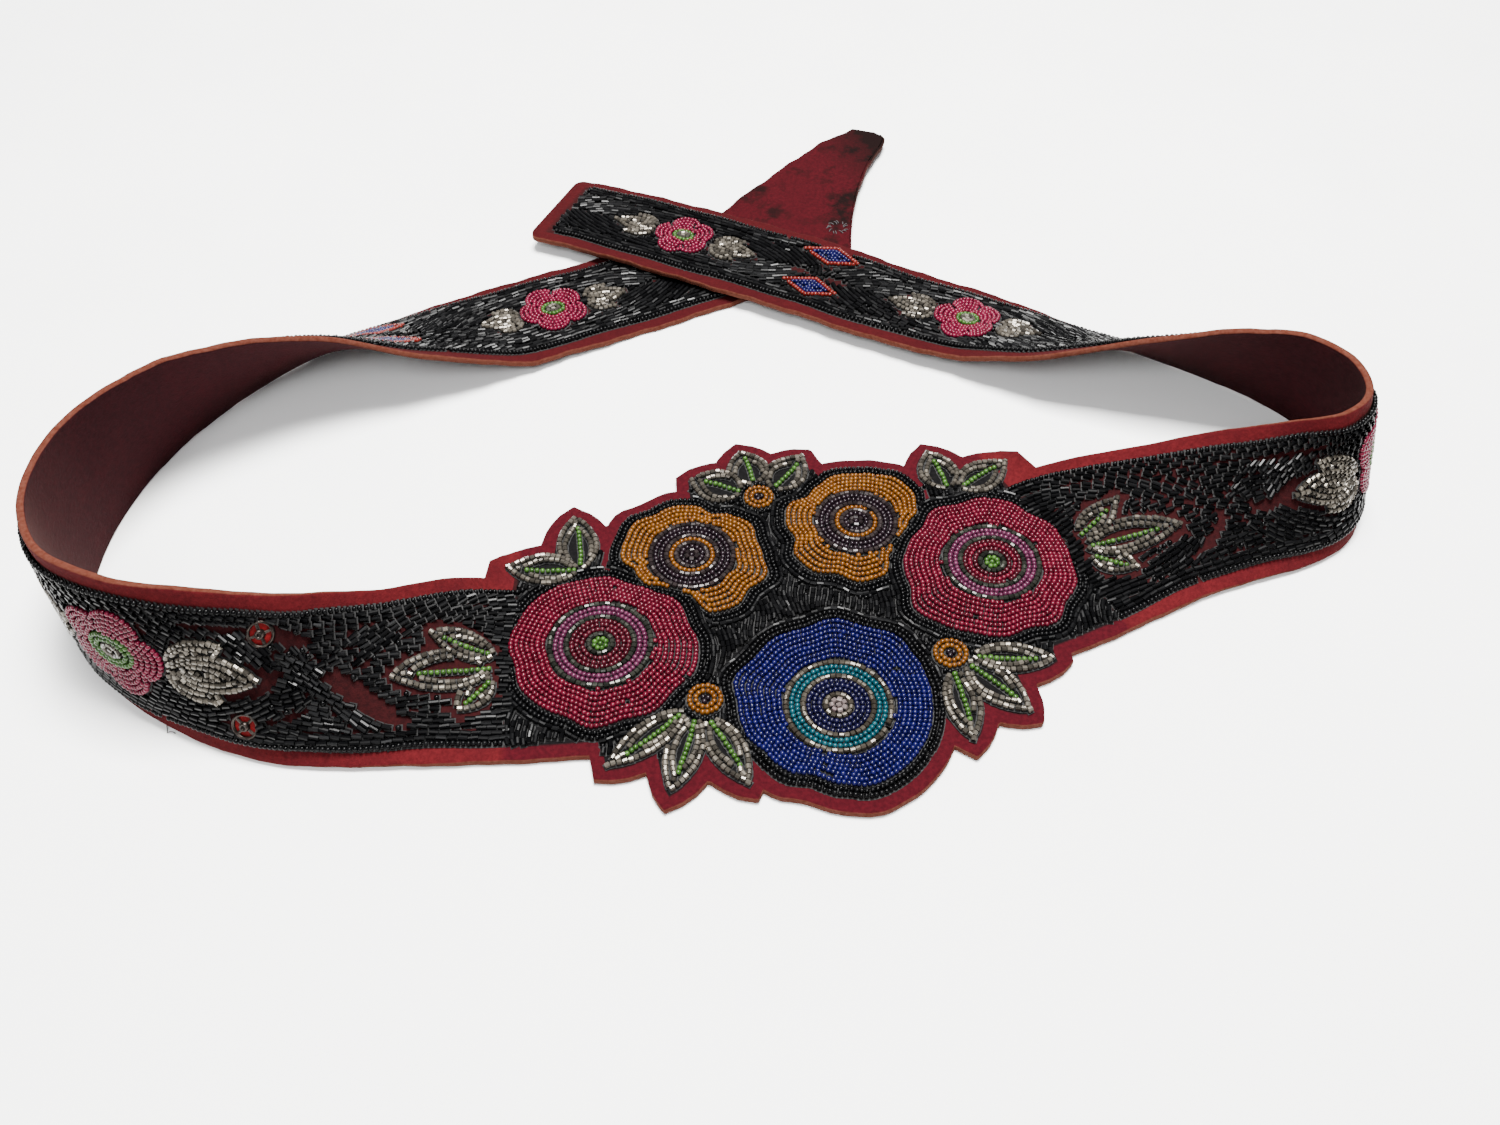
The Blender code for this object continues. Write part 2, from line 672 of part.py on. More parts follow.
def keep_main_body(obj):
    """Drop slivers that a window leaves beside the main body."""
    bm = bmesh.new()
    bm.from_mesh(obj.data)
    left = set(bm.verts)
    bodies = []
    while left:
        seed = left.pop()
        body = {seed}
        edge = [seed]
        while edge:
            v = edge.pop()
            for e in v.link_edges:
                other = e.other_vert(v)
                if other in left:
                    left.remove(other)
                    body.add(other)
                    edge.append(other)
        bodies.append(body)
    bodies.sort(key=len)
    for body in bodies[:-1]:
        bmesh.ops.delete(bm, geom=list(body), context="VERTS")
    bm.to_mesh(obj.data)
    bm.free()


def leaf_plate(name, ax, ay, bx, by, half, where, to_pattern, clear=0.0, stations=LEAF_STATIONS):
    """Leaf with a raised rim and a sunk middle, in pattern space."""
    length = math.hypot(bx - ax, by - ay)
    ux = (bx - ax) / length
    uy = (by - ay) / length
    low = LEATHER + GAP + clear
    top = low + LEAF_LAYER
    sunk = low + LEAF_LAYER * 0.55
    verts = []
    faces = []
    for d, w in leaf_places(length, half, 0.0, stations):
        for v, h in ((-1.0, low), (-1.0, top), (-0.42, top), (0.0, sunk), (0.42, top), (1.0, top), (1.0, low)):
            x = ax + ux * d - uy * v * w
            y = ay + uy * d + ux * v * w
            s, t = to_pattern(x, y)
            verts.append((s, t, h))
    n = 7
    for i in range(stations - 1):
        a = i * n
        for k in range(n):
            faces.append((a + k, a + (k + 1) % n, a + n + (k + 1) % n, a + n + k))
    faces.append(tuple(range(n)))
    faces.append(tuple(range(len(verts) - 1, len(verts) - n - 1, -1)))
    return new_object(name, verts, faces, where)


def dome(name, x, y, radius, count, rings, layer, crown, where, to_pattern, bent=False):
    """Low dome with the rim of the flower, in pattern space."""
    low = LEATHER + GAP + (BEND_CLEAR if bent else 0.0)
    verts = []
    faces = []
    levels = [(1.0, low), (1.0, low + layer * 0.75)]
    if bent:
        levels = [(0.35, low), (0.7, low)] + levels
    for i in range(rings):
        k = 0.94 * (1.0 - i / rings)
        levels.append((k, low + layer + crown * (1.0 - k * k)))
    for k, h in levels:
        for px, py in petal_outline(name, x, y, radius, count, 0.0, k):
            s, t = to_pattern(px, py)
            verts.append((s, t, h))
    for j in range(len(levels) - 1):
        for i in range(count):
            m = (i + 1) % count
            faces.append((j * count + i, j * count + m, (j + 1) * count + m, (j + 1) * count + i))
    s, t = to_pattern(x, y)
    if bent:
        verts.append((s, t, low))
        for i in range(count):
            faces.append(((i + 1) % count, i, len(verts) - 1))
    else:
        faces.append(tuple(range(count)))
    verts.append((s, t, low + layer + crown))
    centre = len(verts) - 1
    base = (len(levels) - 1) * count
    for i in range(count):
        faces.append((base + i, base + (i + 1) % count, centre))
    return new_object(name, verts, faces, where)


def same(s, t):
    return s, t


def snap(name, s0, t0, low, up, where):
    """Sew-on snap half: flat disc, raised ring and middle stud."""
    profile = ((1.0, 0.0), (1.0, 0.55), (0.66, 0.80), (0.50, 0.50), (0.30, 0.50), (0.26, 1.0))
    verts = []
    faces = []
    count = 12
    for k, h in profile:
        for i in range(count):
            a = 2.0 * math.pi * i / count
            z = low + up * h * SNAP_HEIGHT
            verts.append((s0 + SNAP_RADIUS * k * math.cos(a), t0 + SNAP_RADIUS * k * math.sin(a), z))
    for j in range(len(profile) - 1):
        for i in range(count):
            m = (i + 1) % count
            faces.append((j * count + i, j * count + m, (j + 1) * count + m, (j + 1) * count + i))
    faces.append(tuple(range(count)))
    faces.append(tuple(range(len(verts) - 1, len(verts) - count - 1, -1)))
    return new_object(name, verts, faces, where)


def dress(obj, mats, slot):
    if slot not in mats:
        mats[slot] = material(slot)
    obj.data.materials.clear()
    obj.data.materials.append(mats[slot])


def main():
    for obj in list(bpy.data.objects):
        bpy.data.objects.remove(obj)
    parts = bpy.data.collections.new("beaded_belt")
    tools = bpy.data.collections.new("cutters")
    bpy.context.scene.collection.children.link(parts)
    bpy.context.scene.collection.children.link(tools)
    mats = {}
    made = []

    leather = strip("leather_belt", leather_columns(), 0.0, LEATHER, parts)
    made.append((leather, "suede"))

    low = LEATHER + GAP
    field_top = low + BEAD_LAYER
    holes = []
    solid_flowers = []
    for name, fx, fy, radius in FLOWERS:
        x, y = panel_point(fx, fy)
        r = radius * STRAP_WIDTH
        big = name in RIMS
        count = 30 if big else 12
        flower = dome(name, x, y, r, count, 2 if big else 1, FLOWER_LAYER,
                      FLOWER_CROWN if big else 0.0003, parts, unroll)
        hole_ring = flat_ring(petal_outline(name, x, y, r, count, GAP * 1.2))
        holes.append(("hole_" + name, hole_ring))
        slot = "blue_bead" if "blue" in name else "magenta_bead" if "magenta" in name else "orange_bead"
        solid_flowers.append((flower, slot))
    made += solid_flowers

    sprays = {}
    for k, (spray, ax, ay, bx, by, half) in enumerate(LEAVES):
        ends = (*panel_point(ax, ay), *panel_point(bx, by))
        plate = leaf_plate("leaf_%d" % k, *ends, half * STRAP_WIDTH, parts, unroll)
        sprays.setdefault("spray_" + spray, []).append(plate)
        ring = flat_ring(leaf_ring(*ends, half * STRAP_WIDTH, GAP * 1.2))
        holes.append(("hole_leaf_%d" % k, ring))
    for k, (spray, a_s, a_t, b_s, b_t, half) in enumerate(LENS_LEAVES):
        ends = [v * STRAP_WIDTH for v in (a_s, a_t, b_s, b_t)]
        plate = leaf_plate("lens_leaf_%d" % k, *ends, half * STRAP_WIDTH, parts, same, BEND_CLEAR)
        sprays.setdefault("spray_" + spray, []).append(plate)
    for name, plates in sprays.items():
        join_all(plates[0], plates[1:])
        for plate in plates[1:]:
            bpy.data.objects.remove(plate)
        plates[0].name = name
        made.append((plates[0], "silver_bead"))

    for name, s0, radius, leaf_length, leaf_half, lens_half, height in strap_flowers():
        mid = width_at(s0) / 2.0
        flower = dome("strap_flower_" + name, s0, mid, radius, 15, 1,
                      FLOWER_LAYER, 0.0002, parts, same, True)
        made.append((flower, "pink_bead"))
        for side, word in ((-1.0, "before"), (1.0, "after")):
            base = s0 + side * (radius * 1.1 + GAP)
            tip = base + side * leaf_length
            plate = leaf_plate("strap_leaf_%s_%s" % (name, word), base, mid, tip, width_at(tip) / 2.0,
                               leaf_half, parts, same, BEND_CLEAR * 1.5, LEAF_STATIONS + 2)
            made.append((plate, "silver_bead"))

    panel = strip("field_panel", panel_columns(*PANEL_SPAN), low, field_top, parts)
    cutters = []
    for hole, ring in holes:
        if min(p[0] for p in ring) < PANEL_SPAN[1] and max(p[0] for p in ring) > PANEL_SPAN[0]:
            cutters.append(prism(hole, ring, low - 0.0008, field_top + 0.0008, tools))
    cut(panel, cutters, tools)
    keep_main_body(panel)
    made.append((panel, "black_bead"))

    small = []
    for k, word in ((1, "left"), (6, "right")):
        for side, high in ((-1.0, "lower"), (1.0, "upper")):
            ring = diamond_ring(CROSSINGS[k] * PITCH * RUN, side, 0.0)
            gem = fan_plate("diamond_%s_%s" % (word, high), ring, low + BEND_CLEAR, low + 0.0015, parts)
            made.append((gem, "blue_bead"))
            small.append((word, side, diamond_ring(CROSSINGS[k] * PITCH * RUN, side, GAP)))
    for place, across, side in SNAPS:
        ring = disc_ring(place * STRAP_WIDTH, across * STRAP_WIDTH, SNAP_RADIUS + GAP, 12)
        small.append(("left", side, ring))
    for hole, ring in holes:
        if "magenta" in hole:
            small.append(("left" if "left" in hole else "right", 1.0, ring))

    bands = (("left", FIELD_SPAN[0], PANEL_SPAN[0] - GAP), ("right", PANEL_SPAN[1] + GAP, FIELD_SPAN[1]))
    for word, start, end in bands:
        for side, high in ((-1.0, "lower"), (1.0, "upper")):
            band = strip("band_%s_%s" % (word, high), band_columns(start, end, side), low + BAND_CLEAR, field_top, parts)
            cutters = []
            for n, (where, at_side, ring) in enumerate(small):
                if where == word and at_side == side:
                    hole = "hole_%s_%s_%d" % (word, high, n)
                    cutters.append(prism(hole, ring, low - 0.0008, field_top + 0.0008, tools))
            if cutters:
                cut(band, cutters, tools)
            made.append((band, "black_bead"))

    for (place, across, side), word in zip(SNAPS, ("upper", "lower")):
        half = snap("snap_" + word, place * STRAP_WIDTH, across * STRAP_WIDTH, low, 1.0, parts)
        made.append((half, "snap_metal"))
    place = TIP_AT + TONGUE_SNAP[0] * STRAP_WIDTH
    hidden = snap("snap_tongue", place, TONGUE_SNAP[1] * STRAP_WIDTH, -GAP, -1.0, parts)
    made.append((hidden, "snap_metal"))

    for obj, slot in made:
        bend(obj)
        obj.data.transform(move())
        dress(obj, mats, slot)


def move():
    """The shift that puts the origin under the middle of the box, with the leather on the floor."""
    return Matrix.Translation((-CENTRE_X, -CENTRE_Y, REST_LIFT))


main()
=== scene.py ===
"""Beaded belt: the look of the leather and of every sewn bead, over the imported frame."""
import math
import bpy
import numpy as np
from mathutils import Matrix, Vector


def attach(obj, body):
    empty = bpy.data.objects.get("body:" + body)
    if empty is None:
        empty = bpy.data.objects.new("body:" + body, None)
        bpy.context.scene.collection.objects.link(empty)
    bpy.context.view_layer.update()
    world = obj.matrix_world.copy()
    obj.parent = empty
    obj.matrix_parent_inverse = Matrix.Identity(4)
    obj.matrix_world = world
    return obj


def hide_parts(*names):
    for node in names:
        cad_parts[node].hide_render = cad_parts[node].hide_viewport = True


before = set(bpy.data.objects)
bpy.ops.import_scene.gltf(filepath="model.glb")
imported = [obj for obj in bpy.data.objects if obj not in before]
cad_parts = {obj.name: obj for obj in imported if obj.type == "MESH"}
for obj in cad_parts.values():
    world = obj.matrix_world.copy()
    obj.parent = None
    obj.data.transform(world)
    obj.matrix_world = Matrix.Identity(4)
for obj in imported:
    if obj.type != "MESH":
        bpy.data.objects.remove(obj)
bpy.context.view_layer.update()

# Driving sizes, metres. Frame: x across the loop, y from the front panel to the back, z up.
LOOP_WIDTH = 0.360
LOOP_DEPTH = 0.300
STRAP_WIDTH = 0.045
LEATHER = 0.0020
GAP = 0.00034
FLOWER_CROWN = 0.0007
RIM_MARGIN = 0.0040
BLACK_RING = 0.0030
EDGE_MARGIN = 0.0041
LAYER_LIFT = 0.0044
DIAMOND_HIGH = 0.0070
DIAMOND_LOW = 0.0115
LEAF_STATIONS = 5
SNAP_RADIUS = 0.0037
DIAMOND_LENGTH = 0.0250
DIAMOND_WIDTH = 0.0110
END_CORNER = 0.0040
CENTRE_X = -0.000395
CENTRE_Y = -0.002972
REST_LIFT = 0.000008

# The way of the lower edge, from the tongue round the left turn, the front and the right turn.
# Columns: x as a share of LOOP_WIDTH, y as a share of LOOP_DEPTH, lift as a share of LAYER_LIFT,
# lean as a share of a right angle (0 stands on edge, 1 lies flat), width as a share of STRAP_WIDTH.
WAY = (
    (0.1806, 0.4000, 0.4773, 1.0000, 0.9111),
    (0.0806, 0.3450, 0.4773, 1.0000, 0.9111),
    (0.0194, 0.3133, 0.3636, 1.0000, 0.9111),
    (-0.0194, 0.2917, 0.0682, 1.0000, 0.9222),
    (-0.1417, 0.2233, 0.0000, 1.0000, 0.9556),
    (-0.2472, 0.1633, 0.0000, 0.9667, 1.0000),
    (-0.3306, 0.1050, 0.0000, 0.7556, 1.0000),
    (-0.3833, 0.0600, 0.0000, 0.5778, 1.0000),
    (-0.4444, -0.0200, 0.0000, 0.3667, 1.0000),
    (-0.4833, -0.1033, 0.0000, 0.1889, 1.0000),
    (-0.5028, -0.2033, 0.0000, 0.0444, 1.0000),
    (-0.4972, -0.2867, 0.0000, 0.0111, 1.0222),
    (-0.4694, -0.3533, 0.0000, 0.0222, 1.0444),
    (-0.4125, -0.4083, 0.0000, 0.1222, 1.0444),
    (-0.3658, -0.4367, 0.0000, 0.2667, 1.0222),
    (-0.3111, -0.4550, 0.0000, 0.4000, 0.9889),
    (-0.2556, -0.4587, 0.0000, 0.6667, 0.9778),
    (-0.1806, -0.4577, 0.0000, 0.9889, 1.2889),
    (-0.1028, -0.4517, 0.0000, 1.0000, 1.2889),
    (0.0083, -0.4300, 0.0000, 1.0000, 1.3333),
    (0.1333, -0.3933, 0.0000, 1.0000, 1.3333),
    (0.2528, -0.3433, 0.0000, 1.0000, 1.3778),
    (0.3139, -0.3067, 0.0000, 0.9944, 1.3778),
    (0.3750, -0.2700, 0.0000, 0.7889, 1.0333),
    (0.4389, -0.2417, 0.0000, 0.5111, 0.9222),
    (0.4806, -0.2100, 0.0000, 0.2667, 0.9444),
    (0.5014, -0.1600, 0.0000, 0.1444, 0.9667),
    (0.5000, -0.1000, 0.0000, 0.1556, 0.9889),
    (0.4750, -0.0400, 0.0000, 0.2222, 0.9889),
    (0.4278, 0.0117, 0.0000, 0.3556, 0.9778),
    (0.3694, 0.0567, 0.0000, 0.5333, 0.9222),
    (0.2972, 0.1083, 0.1364, 0.8000, 0.9111),
    (0.2433, 0.1463, 0.3636, 0.9333, 0.9000),
    (0.1708, 0.1853, 0.6818, 0.9778, 0.8889),
    (0.1053, 0.2260, 0.9545, 1.0000, 0.8889),
    (0.0181, 0.2750, 1.0000, 1.0000, 0.8889),
    (-0.1036, 0.3417, 0.7273, 0.9778, 0.8889),
    (-0.1750, 0.3767, 0.4545, 0.9667, 0.8889),
    (-0.2417, 0.4067, 0.4545, 0.9667, 0.8889),
)

# The strap is measured both ways from a place at the low edge of the panel, given as shares of
# LOOP_WIDTH and LOOP_DEPTH. Places along the strap are shares of its whole run.
PANEL_X = 0.008333
PANEL_Y = -0.430000
PITCH = 0.107376
FIELD_START = -0.431355
FIELD_END = 0.459587
STRAP_START = -0.507443
STRAP_END = 0.465604

# Ends of the black field of the panel, as shares of STRAP_WIDTH.
PANEL_FROM = -1.378
PANEL_TO = 2.400

# Flowers and buds. Columns: name, x and y from the place at the panel and mean radius, all as
# shares of STRAP_WIDTH.
FLOWERS = (
    ("flower_blue", 0.5046, 0.1647, 0.5653),
    ("flower_magenta_left", -0.8862, 0.6006, 0.5437),
    ("flower_magenta_right", 1.5092, 1.2331, 0.5444),
    ("flower_orange_left", -0.3634, 1.2904, 0.4178),
    ("flower_orange_right", 0.6789, 1.5726, 0.4232),
    ("bud_left", -0.2578, 0.2200, 0.1089),
    ("bud_right", 1.1844, 0.5444, 0.1089),
    ("bud_top", 0.0578, 1.8000, 0.1022),
)

# Rims of the large flowers: radius as a share of the mean radius, at equal turns from +x.
RIMS = {
    "flower_blue": (
        0.96, 0.99, 1.04, 1.12, 1.07, 1.13, 1.05, 1.08, 1.05, 1.12,
        1.02, 1.00, 0.92, 0.92, 0.84, 0.90, 0.96, 0.95, 0.94, 0.95),
    "flower_magenta_left": (
        1.08, 1.00, 1.03, 0.92, 0.89, 0.96, 0.95, 0.98, 0.99, 0.98,
        1.01, 0.95, 1.00, 0.99, 0.98, 1.08, 1.01, 1.07, 1.02, 1.10),
    "flower_magenta_right": (
        0.92, 0.92, 0.96, 0.91, 1.00, 1.02, 0.96, 1.03, 0.93, 0.98,
        1.02, 1.02, 1.16, 1.10, 1.05, 1.06, 0.98, 1.06, 0.95, 0.98),
    "flower_orange_left": (
        1.07, 1.03, 1.11, 1.02, 0.88, 1.03, 1.07, 1.03, 1.14, 1.09,
        1.09, 0.89, 0.87, 0.71, 0.68, 0.72, 1.13, 1.17, 1.07, 1.20),
    "flower_orange_right": (
        0.78, 1.00, 1.13, 1.16, 1.08, 1.03, 1.03, 0.94, 0.89, 1.10,
        1.07, 0.98, 1.16, 1.18, 1.06, 1.17, 1.11, 0.77, 0.65, 0.70),
}

# Leaves of the sprays. Columns: spray, base x and y, tip x and y from the place at the panel and
# half width, all as shares of STRAP_WIDTH.
LEAVES = (
    ("top", -0.0533, 1.8489, -0.4111, 1.9689, 0.1533),
    ("top", 0.0267, 1.9178, -0.0711, 2.2333, 0.1467),
    ("top", 0.1467, 1.8756, 0.3600, 2.1911, 0.1444),
    ("top_left", -1.0667, 1.1822, -1.5289, 1.1822, 0.1311),
    ("top_left", -1.0533, 1.1867, -1.1311, 1.6489, 0.1378),
    ("top_right", 1.3000, 1.8800, 1.1844, 2.2333, 0.1400),
    ("top_right", 1.3733, 1.8800, 1.7200, 2.1200, 0.1378),
    ("low_left", -0.3689, 0.1400, -0.8089, -0.2378, 0.1067),
    ("low_left", -0.3067, 0.1022, -0.4444, -0.4067, 0.1156),
    ("low_left", -0.2356, 0.0933, 0.0044, -0.3489, 0.1156),
    ("low_right", 1.3067, 0.5244, 1.8222, 0.5089, 0.1111),
    ("low_right", 1.2711, 0.4800, 1.6133, 0.1311, 0.1333),
    ("low_right", 1.1911, 0.4222, 1.2600, -0.0689, 0.1178),
)

# Leaves of the two sprays in the strap. Columns: spray, base along and across, tip along and
# across and half width, all as shares of STRAP_WIDTH.
LENS_LEAVES = (
    ("lens_left", -1.4889, 0.7000, -1.8778, 0.7889, 0.1022),
    ("lens_left", -1.4889, 0.6111, -2.0667, 0.5000, 0.1333),
    ("lens_left", -1.4889, 0.5333, -1.6889, 0.3000, 0.0978),
    ("lens_right", 2.5778, 0.7222, 2.9000, 0.8222, 0.1022),
    ("lens_right", 2.5556, 0.6333, 3.1000, 0.4778, 0.1289),
    ("lens_right", 2.5444, 0.5667, 2.7444, 0.3333, 0.0978),
)

# Flowers of the strap, one in each lens. Columns: name, place along as a share of the pitch,
# radius, leaf length and leaf half width as shares of STRAP_WIDTH, half length of the lens as a
# share of the pitch and its rise as a share of STRAP_WIDTH.
STRAP_FLOWERS = (
    ("hidden_left", -2.414, 0.252, 0.342, 0.190, 0.400, 0.276),
    ("back_left", -3.431, 0.245, 0.320, 0.190, 0.390, 0.268),
    ("left_turn", -1.397, 0.302, 0.550, 0.250, 0.400, 0.335),
    ("right_turn", 1.750, 0.295, 0.473, 0.245, 0.395, 0.322),
    ("back_right", 2.974, 0.250, 0.333, 0.185, 0.390, 0.274),
    ("end_right", 3.879, 0.222, 0.380, 0.175, 0.390, 0.248),
)

# Places where the bead bands cross, as shares of the pitch.
CROSSINGS = (-3.920, -2.922, -1.905, -0.983, 1.302, 2.379, 3.431)

# Half lenses beside the panel. Columns: place of the tip, place of the open end and rise, as
# shares of STRAP_WIDTH.
HALF_LENSES = (
    (-2.333, -1.444, 0.345),
    (3.253, 2.449, 0.350),
)

# Sew-on snaps: place along and across as shares of STRAP_WIDTH.
SNAPS = ((-2.733, 0.778), (-2.822, 0.211))

# Snap under the tongue: distance from the far tip and place across, as shares of STRAP_WIDTH.
TONGUE_SNAP = (0.938, 0.478)

# Outline of the bare tongue. Columns: along as a share of STRAP_WIDTH from the far tip,
# lower and upper edge as shares of STRAP_WIDTH.
TONGUE = (
    (0.0000, -0.5239, -0.4837),
    (0.0267, -0.6071, -0.4528),
    (0.0933, -0.6650, -0.3756),
    (0.1822, -0.7422, -0.3029),
    (0.3244, -0.7124, -0.1867),
    (0.5111, -0.6733, 0.0181),
    (0.6911, -0.5982, 0.2756),
    (0.8733, -0.5222, 0.5879),
    (1.0267, -0.4460, 0.9178),
    (1.2400, -0.3400, 0.9178),
    (1.6844, -0.1289, 0.9239),
    (1.9156, -0.0133, 0.9271),
    (2.0489, 0.0000, 0.9289),
)


def spline(knots, values):
    """Natural cubic spline through the values at the knots."""
    n = len(knots)
    h = np.diff(knots)
    a = np.zeros((n, n))
    r = np.zeros(n)
    a[0, 0] = 1.0
    a[-1, -1] = 1.0
    for i in range(1, n - 1):
        a[i, i - 1] = h[i - 1]
        a[i, i] = 2.0 * (h[i - 1] + h[i])
        a[i, i + 1] = h[i]
        r[i] = 6.0 * ((values[i + 1] - values[i]) / h[i] - (values[i] - values[i - 1]) / h[i - 1])
    m = np.linalg.solve(a, r)

    def at(q):
        i = np.clip(np.searchsorted(knots, q) - 1, 0, n - 2)
        u = knots[i + 1] - q
        v = q - knots[i]
        cubic = (m[i] * u ** 3 + m[i + 1] * v ** 3) / (6.0 * h[i])
        line = (values[i] / h[i] - m[i] * h[i] / 6.0) * u
        return cubic + line + (values[i + 1] / h[i] - m[i + 1] * h[i] / 6.0) * v

    return at


def soften(a, n=41):
    """Round the corners of a row of values."""
    pad = np.concatenate((np.full(n, a[0]), a, np.full(n, a[-1])))
    window = np.hanning(n)
    return np.convolve(pad, window / window.sum(), "same")[n:-n]


def build_way():
    """Dense table of the strap: distance along, base point, direction, lean and width."""
    rows = np.array(WAY)
    x = rows[:, 0] * LOOP_WIDTH
    y = rows[:, 1] * LOOP_DEPTH
    knots = np.concatenate(([0.0], np.cumsum(np.hypot(np.diff(x), np.diff(y)))))
    q = np.linspace(0.0, knots[-1], 2000)
    px = spline(knots, x)(q)
    py = spline(knots, y)(q)
    lift = soften(np.interp(q, knots, rows[:, 2])) * LAYER_LIFT
    lean = soften(np.interp(q, knots, rows[:, 3])) * math.pi / 2.0
    width = soften(np.interp(q, knots, rows[:, 4])) * STRAP_WIDTH
    s = np.concatenate(([0.0], np.cumsum(np.hypot(np.diff(px), np.diff(py)))))
    s = s - s[np.argmin(np.hypot(px - PANEL_X * LOOP_WIDTH, py - PANEL_Y * LOOP_DEPTH))]
    tx = np.gradient(px, s)
    ty = np.gradient(py, s)
    size = np.hypot(tx, ty)
    return s, px, py, lift, tx / size, ty / size, lean, width


S, PX, PY, LIFT, TX, TY, LEAN, WIDTH = build_way()
RUN = float(S[-1] - S[0])
TIP_AT = STRAP_START * RUN
END_AT = STRAP_END * RUN
FIELD_SPAN = (FIELD_START * RUN, FIELD_END * RUN)
PANEL_SPAN = (PANEL_FROM * STRAP_WIDTH, PANEL_TO * STRAP_WIDTH)


def panel_point(x, y):
    """Point of the flat panel from shares of STRAP_WIDTH."""
    return PANEL_X * LOOP_WIDTH + x * STRAP_WIDTH, PANEL_Y * LOOP_DEPTH + y * STRAP_WIDTH


def flowers():
    """Name, place and mean radius of each flower and bud of the panel, in metres."""
    for name, x, y, radius in FLOWERS:
        yield name, *panel_point(x, y), radius * STRAP_WIDTH


def leaves():
    """Spray, base, tip and half width of each leaf of the panel, in metres."""
    for spray, ax, ay, bx, by, half in LEAVES:
        yield spray, *panel_point(ax, ay), *panel_point(bx, by), half * STRAP_WIDTH


def lens_leaves():
    """Spray, base, tip and half width of each leaf of the two sprays in the strap, in metres."""
    for spray, *sizes in LENS_LEAVES:
        yield spray, *(v * STRAP_WIDTH for v in sizes)


def strap_flowers():
    """Name, place, radius, leaf length, leaf half width, lens half length and rise, in metres."""
    for name, place, radius, length, half, lens, rise in STRAP_FLOWERS:
        sizes = [v * STRAP_WIDTH for v in (radius, length, half)]
        yield name, place * PITCH * RUN, *sizes, lens * PITCH * RUN, rise * STRAP_WIDTH


def width_at(s):
    return float(np.interp(s, S, WIDTH))


def unroll(x, y):
    """Strap coordinates of a point of the flat panel."""
    near = np.abs(S) < 0.18
    e = (x - PX[near]) * TX[near] + (y - PY[near]) * TY[near]
    k = int(np.argmin(np.abs(e)))
    e0 = e[k]
    s = S[near][k] + e0
    t = -(x - PX[near][k]) * TY[near][k] + (y - PY[near][k]) * TX[near][k]
    return float(s), float(t)


def rim_share(name, a):
    """Radius of a flower at angle a as a share of its mean radius."""
    if name.startswith("strap_flower"):
        return 0.80 + 0.30 * abs(math.cos(2.5 * a)) ** 0.7
    if name not in RIMS:
        return 1.0
    row = RIMS[name]
    n = len(row)
    q = a / (2.0 * math.pi) * n
    i = int(math.floor(q))
    f = q - i
    f = (1.0 - math.cos(math.pi * f)) / 2.0
    return row[i % n] * (1.0 - f) + row[(i + 1) % n] * f


def petal_outline(name, x, y, radius, count, grow=0.0, share=1.0):
    """Ring of a flower at a share of its radius; inner rings run rounder than the rim."""
    ring = []
    for i in range(count):
        a = 2.0 * math.pi * i / count
        r = radius * share * (1.0 + (rim_share(name, a) - 1.0) * share) + grow
        ring.append((x + r * math.cos(a), y + r * math.sin(a)))
    return ring


def leaf_side(u):
    """Half width of a leaf at share u of its length."""
    return math.sin(math.pi * min(max(u, 0.0), 1.0) ** 0.85) ** 0.7


def lobe_ring(ax, ay, bx, by, half, grow, stations=9):
    """Pointed lobe of the cut edge about a leaf."""
    length = math.hypot(bx - ax, by - ay)
    ux = (bx - ax) / length
    uy = (by - ay) / length
    ax -= ux * grow * 0.6
    ay -= uy * grow * 0.6
    span = length + grow * 1.6
    side = []
    for i in range(1, stations):
        u = i / stations
        side.append((u * span, (half + grow) * leaf_side(u)))
    ring = [(ax, ay)]
    ring += [(ax + ux * d - uy * w, ay + uy * d + ux * w) for d, w in side]
    ring.append((ax + ux * span, ay + uy * span))
    ring += [(ax + ux * d + uy * w, ay + uy * d - ux * w) for d, w in reversed(side)]
    return ring


def leaf_places(length, half, grow=0.0, stations=LEAF_STATIONS):
    """Distance along and half width of a leaf at its stations, from base to tip."""
    places = []
    for i in range(stations):
        u = 0.02 + 0.96 * i / (stations - 1)
        end = -grow if i == 0 else grow if i == stations - 1 else 0.0
        places.append((u * length + end, half * max(leaf_side(u), 0.16) + grow))
    return places


def leaf_ring(ax, ay, bx, by, half, grow):
    """Outline of a leaf plate, grown by a clearance."""
    length = math.hypot(bx - ax, by - ay)
    ux = (bx - ax) / length
    uy = (by - ay) / length
    side = leaf_places(length, half, grow)
    ring = [(ax + ux * d - uy * w, ay + uy * d + ux * w) for d, w in side]
    ring += [(ax + ux * d + uy * w, ay + uy * d - ux * w) for d, w in reversed(side)]
    return ring


def flat_ring(ring):
    """Carry a ring of the flat panel into pattern space."""
    return [unroll(x, y) for x, y in ring]


def reach(ring, s):
    """Lowest and highest crossing of a closed ring with the line at s."""
    hits = []
    for (s0, t0), (s1, t1) in zip(ring, ring[1:] + ring[:1]):
        if (s0 - s) * (s1 - s) <= 0.0 and abs(s1 - s0) > 1e-9:
            hits.append(t0 + (t1 - t0) * (s - s0) / (s1 - s0))
    if not hits:
        return None
    return min(hits), max(hits)


